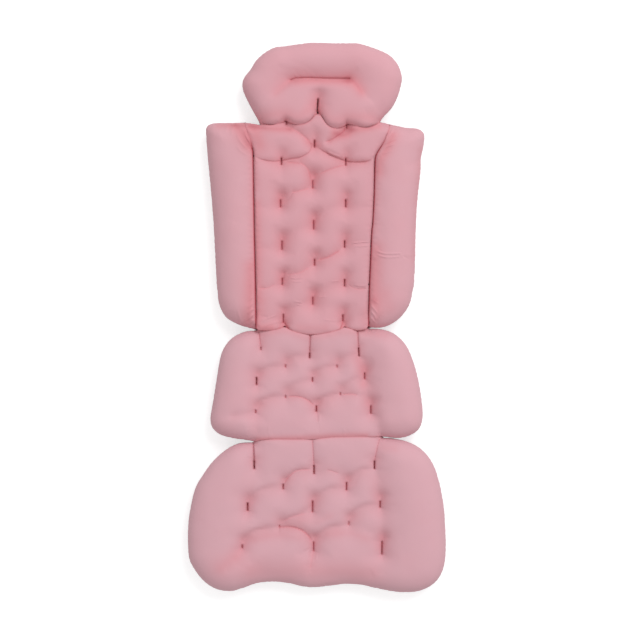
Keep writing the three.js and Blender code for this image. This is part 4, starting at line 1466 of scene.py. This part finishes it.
cupBodies = {"pillow": "head_pillow", "back": "back_panel", "seat": "seat_pad", "legs": "leg_pad"}
for cupName in cups:
    addCup(cupName, cupBodies[cupName.split("_")[0]])
print("cups made")

# Floor, backdrop and light
light = {"ambient": 0.62, "key": 144, "keySize": 2.7, "keySpot": (2.1, 3.0, 4.2)}
ground = {"colour": 0.6, "glow": 0.62, "roughness": 0.9, "half": 4.0, "drop": 0.4 * mm}


def whiteRays(nodes, links):
    # 1 where the camera, a reflection or a transmitted ray looks, 0 for the light that the object gets
    rays = nodes.new("ShaderNodeLightPath")
    last = rays.outputs["Is Camera Ray"]
    for name in ("Is Glossy Ray", "Is Transmission Ray"):
        either = nodes.new("ShaderNodeMath")
        either.operation = "MAXIMUM"
        links.new(last, either.inputs[0])
        links.new(rays.outputs[name], either.inputs[1])
        last = either.outputs[0]
    return last


def addFloor():
    half, level = ground["half"], -ground["drop"]
    mesh = bpy.data.meshes.new("floor")
    corners = [(-half, -half, level), (half, -half, level), (half, half, level), (-half, half, level)]
    mesh.from_pydata(corners, [], [(0, 1, 2, 3)])
    floor = bpy.data.objects.new("floor", mesh)
    scene.collection.objects.link(floor)
    material, nodes, links = newMaterial("floor_white")
    shader = nodes["Principled BSDF"]
    shader.inputs["Base Color"].default_value = (ground["colour"], ground["colour"], ground["colour"], 1)
    shader.inputs["Roughness"].default_value = ground["roughness"]
    shader.inputs["Emission Color"].default_value = (1, 1, 1, 1)
    glow = nodes.new("ShaderNodeMath")
    glow.operation = "MULTIPLY"
    glow.inputs[1].default_value = ground["glow"]
    links.new(whiteRays(nodes, links), glow.inputs[0])
    links.new(glow.outputs[0], shader.inputs["Emission Strength"])
    mesh.materials.append(material)


def addBackdrop():
    world = bpy.data.worlds.new("world")
    scene.world = world
    world.use_nodes = True
    nodes, links = world.node_tree.nodes, world.node_tree.links
    fill = nodes["Background"]
    fill.inputs["Color"].default_value = (1, 1, 1, 1)
    fill.inputs["Strength"].default_value = light["ambient"]
    bright = nodes.new("ShaderNodeBackground")
    bright.inputs["Color"].default_value = (1, 1, 1, 1)
    bright.inputs["Strength"].default_value = 1
    mix = nodes.new("ShaderNodeMixShader")
    links.new(whiteRays(nodes, links), mix.inputs[0])
    links.new(fill.outputs[0], mix.inputs[1])
    links.new(bright.outputs[0], mix.inputs[2])
    links.new(mix.outputs[0], nodes["World Output"].inputs["Surface"])


def addKeyLamp():
    data = bpy.data.lights.new("key", "AREA")
    data.size = light["keySize"]
    data.energy = light["key"]
    lamp = bpy.data.objects.new("key", data)
    lamp.location = light["keySpot"]
    lamp.rotation_euler = (-Vector(light["keySpot"])).to_track_quat("-Z", "Y").to_euler()
    scene.collection.objects.link(lamp)


addFloor()
addBackdrop()
addKeyLamp()
scene.view_settings.view_transform = "Standard"
print("floor, backdrop and lamp made")

# What each cushion stands for; the back cushion rides on its body and the others are baked in place
for section in sections:
    obj = section["object"]
    obj.data.materials.clear()
    obj.data.materials.append(frontCloth)
    obj.data.materials.append(backCloth)
    key = section["nodes"]
    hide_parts(key + "_front_cover", key + "_back_cover", key + "_filling")
    attach(obj, key, section["body"])
